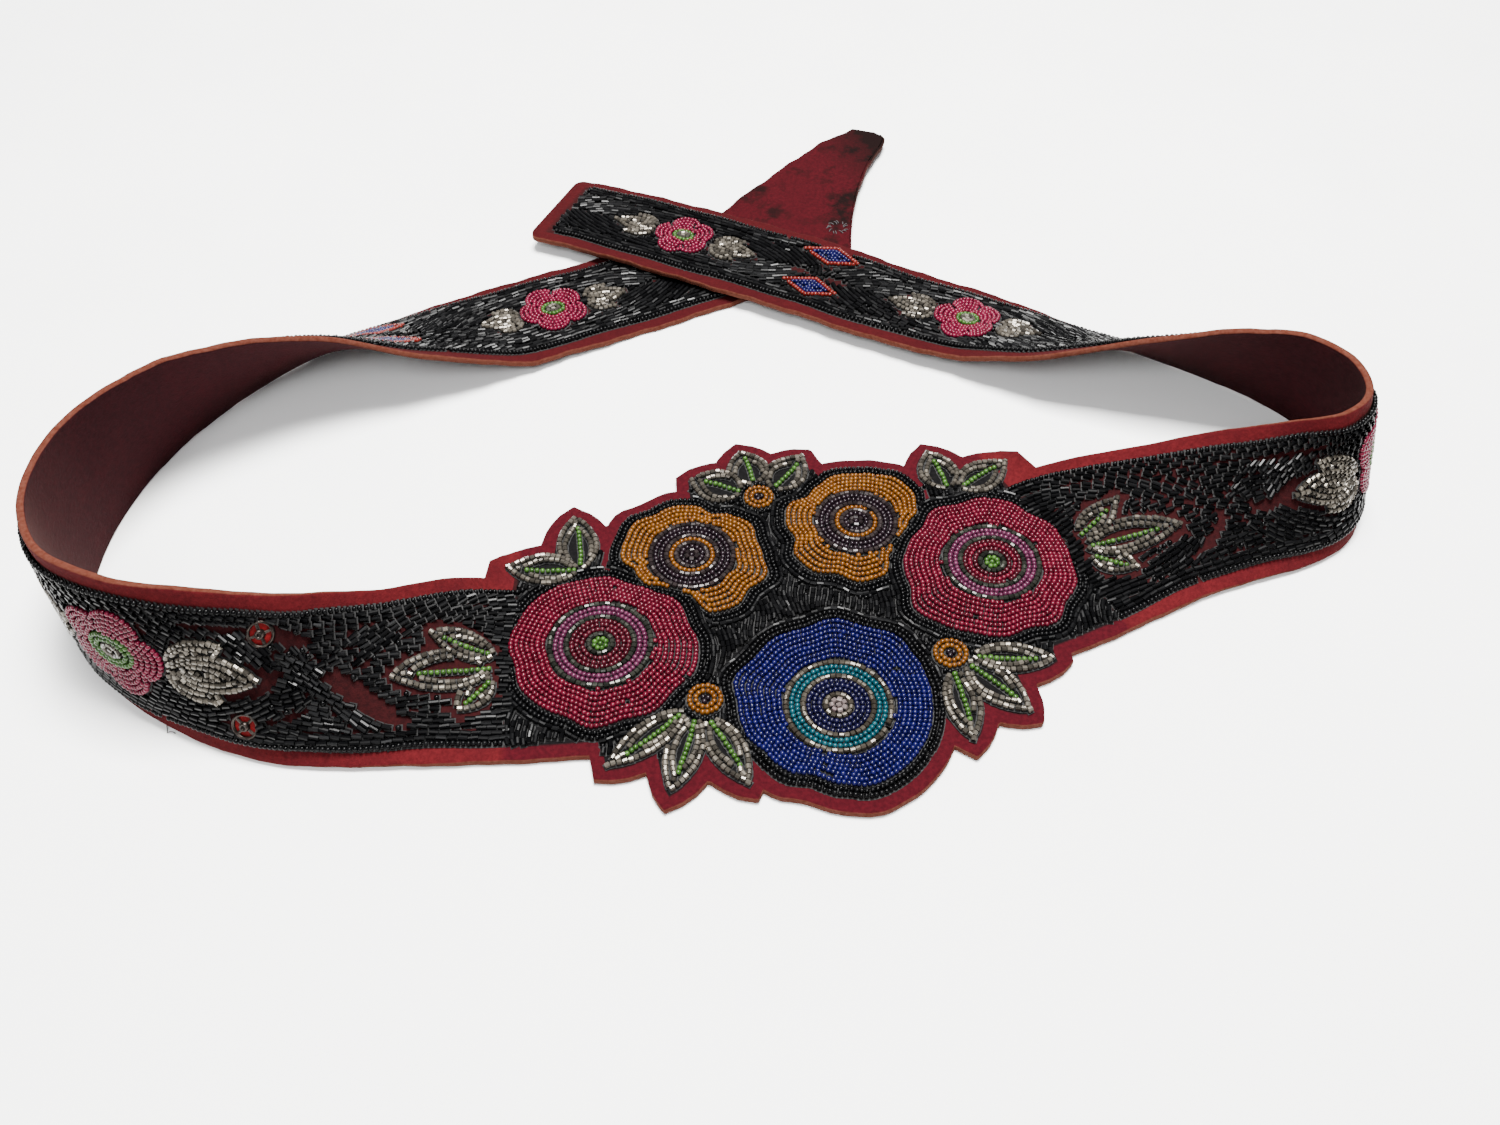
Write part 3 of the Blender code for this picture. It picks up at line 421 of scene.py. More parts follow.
def strap_edge(s):
    """Edges of the plain strap, with the square end and the tongue."""
    lo = 0.0
    hi = width_at(s)
    rows = np.array(TONGUE) * STRAP_WIDTH
    if s < TIP_AT + rows[-1, 0]:
        lo = float(np.interp(s - TIP_AT, rows[:, 0], rows[:, 1]))
        hi = float(np.interp(s - TIP_AT, rows[:, 0], rows[:, 2]))
    left = END_AT - s
    if left < END_CORNER:
        bite = END_CORNER - math.sqrt(max(END_CORNER ** 2 - (END_CORNER - left) ** 2, 0.0))
        lo += bite
        hi -= bite
    return lo, hi


def outline_at(s, rings, lo, hi):
    for ring in rings:
        hit = reach(ring, s)
        if hit:
            lo = min(lo, hit[0])
            hi = max(hi, hit[1])
    return lo, hi


def leather_rings():
    """Panel shapes that the cut edge of the leather follows."""
    rings = []
    for name, x, y, radius in flowers():
        rings.append(flat_ring(petal_outline(name, x, y, radius, 60, BLACK_RING + RIM_MARGIN)))
    for spray, *leaf in leaves():
        rings.append(flat_ring(lobe_ring(*leaf, RIM_MARGIN)))
    return rings


def field_rings():
    """Rounds of black beads about the flowers of the panel."""
    rings = []
    for name, x, y, radius in flowers():
        rings.append(flat_ring(petal_outline(name, x, y, radius, 60, BLACK_RING)))
    return rings


def diamond_ring(s0, side, grow):
    """Diamond between the crossing bands and the edge of the strap."""
    mid = width_at(s0) / 2.0
    t0 = mid + (DIAMOND_HIGH if side > 0.0 else -DIAMOND_LOW)
    a = DIAMOND_LENGTH / 2.0 + grow * 2.0
    b = DIAMOND_WIDTH / 2.0 + grow * 1.2
    return [(s0 - a, t0), (s0, t0 - b), (s0 + a, t0), (s0, t0 + b)]


def disc_ring(s0, t0, radius, count):
    ring = []
    for i in range(count):
        a = 2.0 * math.pi * i / count
        ring.append((s0 + radius * math.cos(a), t0 + radius * math.sin(a)))
    return ring


SHIFT = np.array((-CENTRE_X, -CENTRE_Y, REST_LIFT))
MM = 0.001
CHANCE = np.random.RandomState(11)

# Rows of beads: first row beside a lens and beside an edge, step from row to row, and step of the
# rounds in a flower.
FIRST_ROW = 0.00080
EDGE_ROW = 0.00085
ROW_STEP = 0.00150
ROUND_STEP = 0.00140
# Step from bead to bead in a row.
ROUND_PITCH = 0.00128
SEED_PITCH = 0.00130
CUT_PITCH = 0.00148
SHORT_PITCH = 0.00190
BUGLE_PITCH = 0.00262
# Least distance from bead to bead in rounds and in rows, and the share of beads left out of a row.
ROUND_ROOM = 0.00104
ROW_ROOM = 0.00108
LEFT_OUT = 0.01
# Distance that the beads keep from the border of their field, and the step of places along it.
BORDER = 0.0006
PLACE_STEP = 0.002
# Side of a cell in the list of taken places.
CELL = 0.002
BEAD_SIDES = 6


def lay_many(s, t, h):
    """Places on the strap, as rendered, for arrays of s, t and h."""
    s = np.asarray(s, float)
    t = np.asarray(t, float)
    h = np.asarray(h, float)
    tx = np.interp(s, S, TX)
    ty = np.interp(s, S, TY)
    lean = np.interp(s, S, LEAN)
    up = np.cos(lean)
    over = np.sin(lean)
    px = np.interp(s, S, PX) - ty * over * t + ty * up * h
    py = np.interp(s, S, PY) + tx * over * t - tx * up * h
    pz = np.interp(s, S, LIFT) + up * t + over * h
    return np.stack((px, py, pz), axis=-1) + SHIFT


def directions(s, angle):
    """Unit vectors along, across and out of the surface, turned in it by angle."""
    tx = np.interp(s, S, TX)
    ty = np.interp(s, S, TY)
    lean = np.interp(s, S, LEAN)
    up = np.cos(lean)
    over = np.sin(lean)
    along = np.stack((tx, ty, 0.0 * tx), axis=-1)
    across = np.stack((-ty * over, tx * over, up), axis=-1)
    out = np.stack((ty * up, -tx * up, over), axis=-1)
    c = np.cos(angle)[:, None]
    k = np.sin(angle)[:, None]
    return c * along + k * across, c * across - k * along, out


# Bead shapes. Columns: length, radius, smooth, then the profile as shares of both.
SHAPES = {
    "seed": (0.00122, 0.00074, True,
             ((-0.50, 0.45), (-0.32, 0.90), (0.0, 1.0), (0.32, 0.90), (0.50, 0.45))),
    "cut": (0.00142, 0.00078, False, ((-0.50, 0.62), (-0.40, 0.98), (0.40, 0.98), (0.50, 0.62))),
    "short": (0.00182, 0.00071, False, ((-0.50, 0.80), (-0.47, 0.98), (0.47, 0.98), (0.50, 0.80))),
    "bugle": (0.00256, 0.00071, False, ((-0.50, 0.80), (-0.48, 0.98), (0.48, 0.98), (0.50, 0.80))),
}


def bead_shape(kind):
    """Vertices and quads of a bead on its side, axis along x, with a dark patch below: the thread that holds
    it and painted shade under and round it.
    """
    length, radius, smooth, profile = SHAPES[kind]
    verts = []
    faces = []
    for x, r in profile:
        for j in range(BEAD_SIDES + 1):
            a = math.radians(-32.0 + 244.0 * j / BEAD_SIDES)
            verts.append((x * length, r * radius * math.cos(a), radius + r * radius * math.sin(a)))
    row = BEAD_SIDES + 1
    for i in range(len(profile) - 1):
        for j in range(BEAD_SIDES):
            a = i * row + j
            faces.append((a, a + row, a + row + 1, a + 1))
    # Dark patch a little larger than the bead: partly the thread that holds it, partly painted shade under
    # and between the beads.
    base = len(verts)
    x = length / 2.0 + 0.00022
    y = radius + 0.00022
    verts += [(-x, -y, 0.00006), (x, -y, 0.00006), (x, y, 0.00006), (-x, y, 0.00006)]
    faces.append((base, base + 1, base + 2, base + 3))
    return np.array(verts), np.array(faces), len(faces) - 1, smooth


class Cloth:
    """Beads sewn so far, with the places that they take up in pattern space."""

    def __init__(self):
        self.cells = {}
        self.beads = []

    def cell(self, x, y):
        return int(math.floor(x / CELL)), int(math.floor(y / CELL))

    def near(self, x, y, gap):
        i0, j0 = self.cell(x, y)
        for i in (i0 - 1, i0, i0 + 1):
            for j in (j0 - 1, j0, j0 + 1):
                for px, py in self.cells.get((i, j), ()):
                    if (px - x) ** 2 + (py - y) ** 2 < gap * gap:
                        return True
        return False

    def take(self, x, y):
        self.cells.setdefault(self.cell(x, y), []).append((x, y))

    def sew(self, node, kind, paint, x, y, angle, h=0.0, gap=0.00122, free=True):
        """Sew one bead if there is room for it. Returns whether it went in."""
        half = max(SHAPES[kind][0] / 2.0 - 0.00056, 0.0)
        spots = [(x, y)]
        if half > 0.0002:
            dx = math.cos(angle) * half
            dy = math.sin(angle) * half
            spots = [(x - dx, y - dy), (x + dx, y + dy)]
        if free and any(self.near(a, b, gap) for a, b in spots):
            return False
        for a, b in spots:
            self.take(a, b)
        self.beads.append((node, kind, paint, x, y, angle, h))
        return True


def along_line(points, pitch, closed=False):
    """Even places along a line of points: x, y and heading."""
    p = np.array(points, float)
    if closed:
        p = np.vstack((p, p[:1]))
    step = np.hypot(*np.diff(p, axis=0).T)
    d = np.concatenate(([0.0], np.cumsum(step)))
    n = max(int(round(d[-1] / pitch)), 1)
    q = (np.arange(n) + (0.5 if closed else CHANCE.rand())) * d[-1] / n
    x = np.interp(q, d, p[:, 0])
    y = np.interp(q, d, p[:, 1])
    e = 0.0002
    x1 = np.interp(q + e, d, p[:, 0])
    y1 = np.interp(q + e, d, p[:, 1])
    x0 = np.interp(q - e, d, p[:, 0])
    y0 = np.interp(q - e, d, p[:, 1])
    return x, y, np.arctan2(y1 - y0, x1 - x0)


def inside(ring, x, y):
    """Whether places lie within a polygon."""
    r = np.array(ring)
    x = np.asarray(x, float)
    y = np.asarray(y, float)
    hit = np.zeros(x.shape, bool)
    n = len(r)
    for i in range(n):
        x0, y0 = r[i]
        x1, y1 = r[(i + 1) % n]
        if y0 == y1:
            continue
        crosses = (y0 > y) != (y1 > y)
        at = x0 + (y - y0) * (x1 - x0) / (y1 - y0)
        hit ^= crosses & (x < at)
    return hit


def pull(node, kind, paint, cloth, points, pitch, mask=None, h=0.0, closed=False, gap=0.00122, skip=0.004):
    """A row of beads along a line, where the mask and the room allow."""
    x, y, a = along_line(points, pitch, closed)
    keep = np.ones(len(x), bool) if mask is None else mask(x, y)
    sewn = 0
    for i in range(len(x)):
        if keep[i] and CHANCE.rand() > skip:
            name = node(x[i], y[i]) if callable(node) else node
            colour = paint(x[i], y[i]) if callable(paint) else paint
            lift = h(x[i], y[i]) if callable(h) else h
            sewn += cloth.sew(name, kind, colour, x[i], y[i], a[i], lift, gap)
    return sewn


def circle(x, y, rx, ry, count):
    """Ring of places round a point, with its reach along and across."""
    turns = np.linspace(0.0, 2.0 * math.pi, count + 1)[:-1]
    return [(x + rx * math.cos(a), y + ry * math.sin(a)) for a in turns]


panel_cloth = Cloth()
strap_cloth = Cloth()

# Rounds of the large flowers from the middle outward.
# Columns: radius in mm, shape, colour.
HEARTS = {
    "flower_blue": (
        (0.0, "cut", "rose_silver"), (1.7, "cut", "rose_silver"), (3.3, "cut", "bronze"),
        (4.9, "seed", "navy"), (6.3, "seed", "navy"), (7.7, "seed", "navy"), (9.1, "cut", "bronze"),
        (10.6, "seed", "teal"), (12.1, "seed", "teal"), (13.6, "cut", "bronze")),
    "flower_magenta_left": (
        (0.0, "seed", "green"), (1.6, "seed", "green"), (3.2, "cut", "smoke"), (4.8, "seed", "wine"),
        (6.3, "seed", "wine"), (7.6, "seed", "wine"), (9.0, "cut", "smoke"), (10.5, "seed", "mauve"),
        (12.0, "seed", "mauve"), (13.5, "cut", "smoke")),
    "flower_magenta_right": (
        (0.0, "seed", "green"), (1.6, "seed", "green"), (3.3, "cut", "smoke"), (4.8, "seed", "wine"),
        (6.3, "seed", "magenta"), (7.6, "seed", "wine"), (8.9, "cut", "smoke"), (10.3, "seed", "mauve"),
        (11.7, "seed", "mauve"), (13.1, "cut", "smoke")),
    "flower_orange_left": (
        (0.0, "seed", "plum"), (1.5, "cut", "smoke_plum"), (3.0, "seed", "plum"), (4.4, "cut", "smoke_plum"),
        (5.8, "seed", "orange"), (7.2, "cut", "smoke_plum"), (8.7, "seed", "plum"), (10.2, "seed", "plum"),
        (11.7, "cut", "smoke_plum")),
    "flower_orange_right": (
        (0.0, "seed", "plum"), (1.5, "cut", "smoke_plum"), (3.0, "seed", "plum"), (4.2, "cut", "smoke_plum"),
        (5.5, "seed", "orange"), (7.0, "cut", "smoke_plum"), (8.5, "seed", "plum"), (10.0, "seed", "plum"),
        (11.4, "cut", "smoke_plum")),
}
PETAL = {"flower_blue": "cobalt", "flower_magenta_left": "magenta", "flower_magenta_right": "magenta",
         "flower_orange_left": "orange", "flower_orange_right": "orange"}


def sew_flower(name, x, y, radius):
    """Rounds of beads of a large flower: even in the middle, with the petals' waves at the rim."""
    cloth = panel_cloth
    paint = PETAL[name]
    heart = HEARTS[name]

    def lift(px, py):
        q = min(math.hypot(px - x, py - y) / radius, 1.0)
        return 0.00042 + FLOWER_CROWN * (1.0 - q * q)

    for r, kind, colour in heart:
        if r == 0.0:
            cloth.sew(name, kind, colour, x, y, 0.4, lift(x, y))
            continue
        pitch = CUT_PITCH if kind == "cut" else SEED_PITCH
        ring = circle(x, y, r * MM, r * MM, 60)
        pull(name, kind, colour, cloth, ring, pitch, None, lift, True, 0.00100)
    last = heart[-1][0] * MM + ROUND_STEP
    rows = int((radius - 0.0007 - last) / ROUND_STEP) + 1
    for j in range(rows + 3):
        share = (radius - 0.00076 - j * ROUND_STEP) / radius
        if share * radius < last - 0.0012:
            break
        ring = petal_outline(name, x, y, radius, 120, -0.00002, share)

        def out(px, py):
            return np.hypot(px - x, py - y) > last - 0.0003

        pull(name, "seed", paint, cloth, ring, ROUND_PITCH, out, lift, True, ROUND_ROOM)
    rim = petal_outline(name, x, y, radius, 120, -0.0006)
    spots = CHANCE.rand(4200, 2) * 2.6 * radius - 1.3 * radius + (x, y)
    good = inside(rim, spots[:, 0], spots[:, 1])
    good &= np.hypot(spots[:, 0] - x, spots[:, 1] - y) > last - 0.0004
    for px, py in spots[good]:
        turn = math.atan2(py - y, px - x) + 1.57
        cloth.sew(name, "seed", paint, px, py, turn, lift(px, py), 0.00110)


def sew_bud(name, x, y, radius):
    """Two orange rounds about three dark beads."""
    lift = 0.0004
    spread = 0.00082
    for r in (radius - 0.0008, radius - 0.0024):
        ring = circle(x, y, r, r, 30)
        pull(name, "seed", "orange", panel_cloth, ring, SEED_PITCH, None, lift, True, 0.00100)
    for a in (0.3, 2.4, 4.5):
        spot = (x + spread * math.cos(a), y + spread * math.sin(a))
        panel_cloth.sew(name, "seed", "plum", *spot, a, lift, 0.0009)


def sew_leaf(node, ax, ay, bx, by, half, cloth, solid=False):
    """Two rounds of cut beads about a green vein, or rounds to the middle in a solid leaf."""
    length = math.hypot(bx - ax, by - ay)
    ux = (bx - ax) / length
    uy = (by - ay) / length
    if not solid:
        start = (ax + ux * 0.0008, ay + uy * 0.0008)
        bow = 0.10 * half * (1.0 if (ax * 1e4) % 2 > 1 else -1.0)
        line = []
        for q in np.linspace(0.0, 0.70, 12):
            w = bow * math.sin(math.pi * q)
            line.append((start[0] + ux * q * length - uy * w, start[1] + uy * q * length + ux * w))
        pull(node, "seed", "green", cloth, line, 0.00142, None, 0.00010, False, 0.00105, 0.0)
    for j in range(9 if solid else 2):
        inset = EDGE_ROW + ROW_STEP * j
        if half - inset < 0.0004 and j > 0:
            break
        line = []
        for v in (1.0, -1.0):
            side = []
            for q in np.linspace(0.03, 1.0, 26):
                d = q * (length - inset * 1.25)
                w = max((half - 0.0001) * leaf_side(q) - inset, 0.0)
                side.append((ax + ux * d - uy * v * w, ay + uy * d + ux * v * w))
            line += side if v > 0 else side[::-1]
        pull(node, "cut", "silver", cloth, line, 0.00152, None, 0.00022, False, 0.00112, 0.0)


def sew_sprays():
    for spray, *leaf in leaves():
        sew_leaf("spray_" + spray, *leaf, panel_cloth)
    for spray, *leaf in lens_leaves():
        sew_leaf("spray_" + spray, *leaf, strap_cloth)


def leaf_lobes(base, mid, length, half, side):
    """The three lobes of a strap leaf: base, tip and half width of each."""
    lobes = [(base, mid, base + side * length, width_at(base + side * length) / 2.0, half * 0.50)]
    for v in (-1.0, 1.0):
        start = (base - side * 0.0002, mid + v * half * 0.12)
        tip = (base + side * length * 0.60, mid + v * half * 0.74)
        lobes.append((*start, *tip, half * 0.42))
    return lobes


def sew_strap_flower(name, s0, radius, leaf_length, leaf_half):
    """Five petals round a green ring, and a solid grey leaf of three lobes on each side."""
    mid = width_at(s0) / 2.0
    node = "strap_flower_" + name
    cloth = strap_cloth
    k = radius / 0.0105
    cloth.sew(node, "cut", "silver", s0, mid, 0.0, 0.0005)
    for r, colour, kind in ((0.0015, "silver", "cut"), (0.0028, "green", "seed"), (0.0040, "green", "seed")):
        if r > 0.0035 and radius < 0.0115:
            continue
        ring = circle(s0, mid, 1.25 * r * k, 0.92 * r * k, 30)
        pull(node, kind, colour, cloth, ring, ROUND_PITCH, None, 0.0006, True, 0.00096)
    for j in range(8):
        share_j = (radius - 0.0008 - ROUND_STEP * j) / radius
        if share_j > 0.25:
            ring = petal_outline(node, s0, mid, radius, 60, -0.00002, share_j)
            pull(node, "seed", "pink", cloth, ring, SEED_PITCH, None, 0.0005, True, ROUND_ROOM)
    rim = petal_outline(node, s0, mid, radius, 60, -0.0005)
    spots = (CHANCE.rand(1600, 2) - 0.5) * 2.3 * radius + (s0, mid)
    for px, py in spots[inside(rim, spots[:, 0], spots[:, 1])]:
        cloth.sew(node, "seed", "pink", px, py, math.atan2(py - mid, px - s0), 0.0005, 0.00110)
    for side, word in ((-1.0, "before"), (1.0, "after")):
        base = s0 + side * (radius * 1.1 + GAP)
        leaf = "strap_leaf_%s_%s" % (name, word)
        for lobe in leaf_lobes(base, mid, leaf_length, leaf_half, side):
            sew_leaf(leaf, *lobe, cloth, True)
        for lobe in leaf_lobes(base, mid, leaf_length, leaf_half, side):
            ring = np.array(leaf_ring(*lobe, -0.0004))
            spots = CHANCE.rand(700, 2) * (ring.max(0) - ring.min(0)) + ring.min(0)
            for px, py in spots[inside(ring, spots[:, 0], spots[:, 1])]:
                cloth.sew(leaf, "cut", "silver", px, py, CHANCE.rand() * 3.0, 0.0002, 0.00122)


def sew_diamonds():
    """Blue diamonds with a red edge."""
    for k, word in ((1, "left"), (6, "right")):
        for side, high in ((-1.0, "lower"), (1.0, "upper")):
            node = "diamond_%s_%s" % (word, high)
            ring = np.array(diamond_ring(CROSSINGS[k] * PITCH * RUN, side, 0.0))
            middle = ring.mean(0)
            for j, colour in enumerate(("red", "cobalt", "cobalt", "cobalt", "cobalt")):
                q = max(1.0 - (0.0009 + ROUND_STEP * j) / (0.90 * DIAMOND_WIDTH / 2.0), 0.0)
                line = middle + (ring - middle) * q
                pull(node, "seed", colour, strap_cloth, line, ROUND_PITCH, None, 0.0002, True,
                     ROUND_ROOM, 0.0)


def strap_margin(s):
    """Width of the bare suede beside the beads, with its slight waves."""
    return EDGE_MARGIN + 0.00025 * math.sin(s * 210.0) + 0.0002 * math.sin(s * 90.0 + 1.3)


def band_node(s, t):
    word = "left" if s < 0.0 else "right"
    return "band_%s_%s" % (word, "upper" if t > width_at(s) / 2.0 else "lower")


# Things that the rows of black beads go round, as rings in pattern space.
STOPS = []

# Bare slits between the bands of black, in mm along and across the strap.
SLITS = (
    ((-150, 36.2), (-140, 35.4), (-127, 34.6), (-126, 37.2), (-137, 37.6)),
    ((-119, 36.7), (-109, 32.0), (-113, 30.3), (-123, 33.0)),
    ((-125, 10.8), (-117, 13.2), (-110, 15.2), (-113, 13.0), (-119, 10.6)),
    ((-108.5, 23.2), (-104, 26.0), (-98, 20.5), (-91, 15.0), (-84, 10.2), (-89, 9.8), (-96, 12.8),
     (-102, 16.6)),
    ((-138, 29.0), (-129, 27.6), (-121, 26.2), (-117, 24.2), (-121, 19.2), (-130, 15.4), (-139, 12.6)),
    ((149, 22.0), (151, 21.6), (148, 15.4), (141, 11.0), (134.5, 10.6), (141, 13.8)),
    ((153, 22.6), (160, 21.8), (164, 22.8), (171, 26.4), (179, 28.6), (180, 14.6), (172, 15.4),
     (164, 18.2), (157, 18.6)),
    ((158, 32.4), (168, 33.8), (180, 34.6), (181, 32.6), (169, 31.4)),
)

# Small bare patches where the back bands part. Columns: place along, half height.
PATCHES = ((-0.3325, 0.0022), (-0.3460, 0.0022), (0.3915, 0.0020), (0.4050, 0.0020))


def gather_stops():
    for name, x, y, radius in flowers():
        STOPS.append(flat_ring(petal_outline(name, x, y, radius, 48, 0.0006)))
    for spray, *leaf in leaves():
        STOPS.append(flat_ring(leaf_ring(*leaf, 0.0004)))
    for spray, *leaf in lens_leaves():
        STOPS.append(leaf_ring(*leaf, 0.0015))
    for name, s0, radius, leaf_length, leaf_half, lens_half, height in strap_flowers():
        mid = width_at(s0) / 2.0
        STOPS.append(petal_outline("strap_flower_" + name, s0, mid, radius, 40, 0.0005))
        for side in (-1.0, 1.0):
            base = s0 + side * (radius * 1.1 + GAP)
            for lobe in leaf_lobes(base, mid, leaf_length, leaf_half, side):
                STOPS.append(leaf_ring(*lobe, 0.0006))
    for k in (1, 6):
        for side in (-1.0, 1.0):
            STOPS.append(diamond_ring(CROSSINGS[k] * PITCH * RUN, side, 0.0005))
    for place, across in SNAPS:
        STOPS.append(disc_ring(place * STRAP_WIDTH, across * STRAP_WIDTH, SNAP_RADIUS + 0.0006, 16))
    for slit in SLITS:
        STOPS.append([(s * MM, q * MM) for s, q in slit])
    for s0, rise in PATCHES:
        mid = width_at(s0) / 2.0
        STOPS.append([(s0 - 0.008, mid), (s0, mid - rise), (s0 + 0.008, mid), (s0, mid + rise)])


def clear_of_stops(x, y):
    ok = np.ones(len(x), bool)
    for ring in STOPS:
        r = np.array(ring)
        lo = r.min(0)
        hi = r.max(0)
        box = (x > lo[0]) & (x < hi[0]) & (y > lo[1]) & (y < hi[1])
        if box.any():
            ok[box] &= ~inside(ring, x[box], y[box])
    return ok


def on_strap(x, y):
    """Whether places are in the black fields of the straps."""
    w = np.interp(x, S, WIDTH)
    m = np.array([strap_margin(v) for v in x])
    left = (x > FIELD_SPAN[0] + BORDER) & (x < PANEL_SPAN[0])
    right = (x > PANEL_SPAN[1]) & (x < FIELD_SPAN[1] - BORDER)
    ok = (left | right) & (y > m + BORDER) & (y < w - m - BORDER)
    near = np.minimum(x - FIELD_SPAN[0], FIELD_SPAN[1] - x)
    corner = 0.003
    inset = np.clip(corner - near, 0.0, corner)
    ok &= np.minimum(y - m, w - m - y) > corner - np.sqrt(corner ** 2 - inset ** 2) + BORDER
    return ok & clear_of_stops(x, y)


def lens_sides(s0, half, rise, k, steps=60):
    """The two sides of row k round a lens, and its rounded ends."""
    d = FIRST_ROW + ROW_STEP * k
    rim = []
    for v in (1.0, -1.0):
        side = []
        for u in np.linspace(-1.0, 1.0, steps):
            slope = -rise * 3.0 * u * abs(u) / half
            n = math.hypot(1.0, slope)
            side.append((s0 + u * half - slope * d / n, v * max(rise * (1.0 - abs(u) ** 3.0) + d / n, 0.0)))
        rim.append(side)
    ends = []
    if d > 0.0:
        last = math.atan2(1.0, rise * 3.0 / half)
        for v in (-1.0, 1.0):
            turns = np.linspace(-last, last, 14)
            ends.append([(s0 + v * (half + d * math.cos(a)), d * math.sin(a)) for a in turns])
    return rim, ends


def to_mid(line):
    """Line given from the middle of the strap, as places across it."""
    return [(s, width_at(s) / 2.0 + e) for s, e in line]


def black_row(kind, line, pitch):
    """Row of black beads on the straps, where there is room."""
    pull(band_node, kind, "black", strap_cloth, line, pitch, on_strap, 0.0, False, ROW_ROOM, LEFT_OUT)


def weave(left_tip, right_tip, rows):
    """Bands of rows that cross between two lenses."""
    for v in (1.0, -1.0):
        for k in range(rows):
            a = FIRST_ROW + ROW_STEP * k
            b = FIRST_ROW + ROW_STEP * (rows - 1 - k)
            line = []
            for q in np.linspace(0.0, 1.0, 30):
                f = q * q * (3.0 - 2.0 * q)
                line.append((left_tip + (right_tip - left_tip) * q, v * (a * (1.0 - f) - b * f)))
            black_row("bugle", to_mid(line), BUGLE_PITCH)


def sew_bands():
    """Black rows of the straps: along the edges, across where bands meet, round the lenses."""
    spans = ((FIELD_SPAN[0], PANEL_SPAN[0] + 0.001), (PANEL_SPAN[1] - 0.001, FIELD_SPAN[1]))
    for start, end in spans:
        places = np.arange(start, end, PLACE_STEP)
        for side in (0, 1):
            for j, (kind, pitch) in enumerate((("seed", 0.00132), ("bugle", 0.00264), ("bugle", 0.00264))):
                line = []
                for s in places:
                    d = strap_margin(s) + EDGE_ROW + ROW_STEP * j
                    line.append((s, d if side == 0 else width_at(s) - d))
                black_row(kind, line, pitch)
    for left_tip, right_tip in WEAVES:
        weave(left_tip, right_tip, 5)
    for name, s0, radius, leaf_length, leaf_half, half, rise in strap_flowers():
        for k in (0, 1, 2, 3, 4, -1, -2, -3, -4, -5, -6, -7, -8):
            rim, ends = lens_sides(s0, half, rise, k)
            for side in rim:
                black_row("bugle", to_mid(side), BUGLE_PITCH)
            for v, arc in zip((-1, 1), ends):
                if (name, v) in CLOSED:
                    black_row("short", to_mid(arc), SHORT_PITCH)
    for tip, end, rise in HALF_LENSES:
        for k in range(-1, 5):
            d = FIRST_ROW + ROW_STEP * k
            for v in (1.0, -1.0):
                line = []
                for u in np.linspace(-0.3, 1.0, 40):
                    s = (end + (tip - end) * u) * STRAP_WIDTH
                    line.append((s, v * (rise * STRAP_WIDTH * (1.0 - max(u, 0.0) ** 2.4) + d)))
                black_row("bugle", to_mid(line), BUGLE_PITCH)
    # The rest is filled with short rows along the strap, then with single beads.
    for start, end in spans:
        for kind, pitch in (("bugle", BUGLE_PITCH), ("short", SHORT_PITCH)):
            for j in range(40):
                line = []
                for s in np.arange(start, end, PLACE_STEP):
                    line.append((s, 0.0042 + ROW_STEP * j + 0.0016 * math.sin(s * 90.0 + j * 0.12)))
                black_row(kind, line, pitch)
        spots = CHANCE.rand(int((end - start) * 60000.0), 2) * (end - start, 0.062) + (start, 0.0)
        spots = spots[on_strap(spots[:, 0], spots[:, 1])]
        for px, py in spots:
            turn = CHANCE.rand() * 3.14
            strap_cloth.sew(band_node(px, py), "seed", "black", px, py, turn, 0.0, 0.00116)


def inner_rings():
    """Shapes that the black ground of the panel reaches to."""
    rings = field_rings()
    for spray, *leaf in leaves():
        rings.append(flat_ring(lobe_ring(*leaf, 0.0)))
    return rings


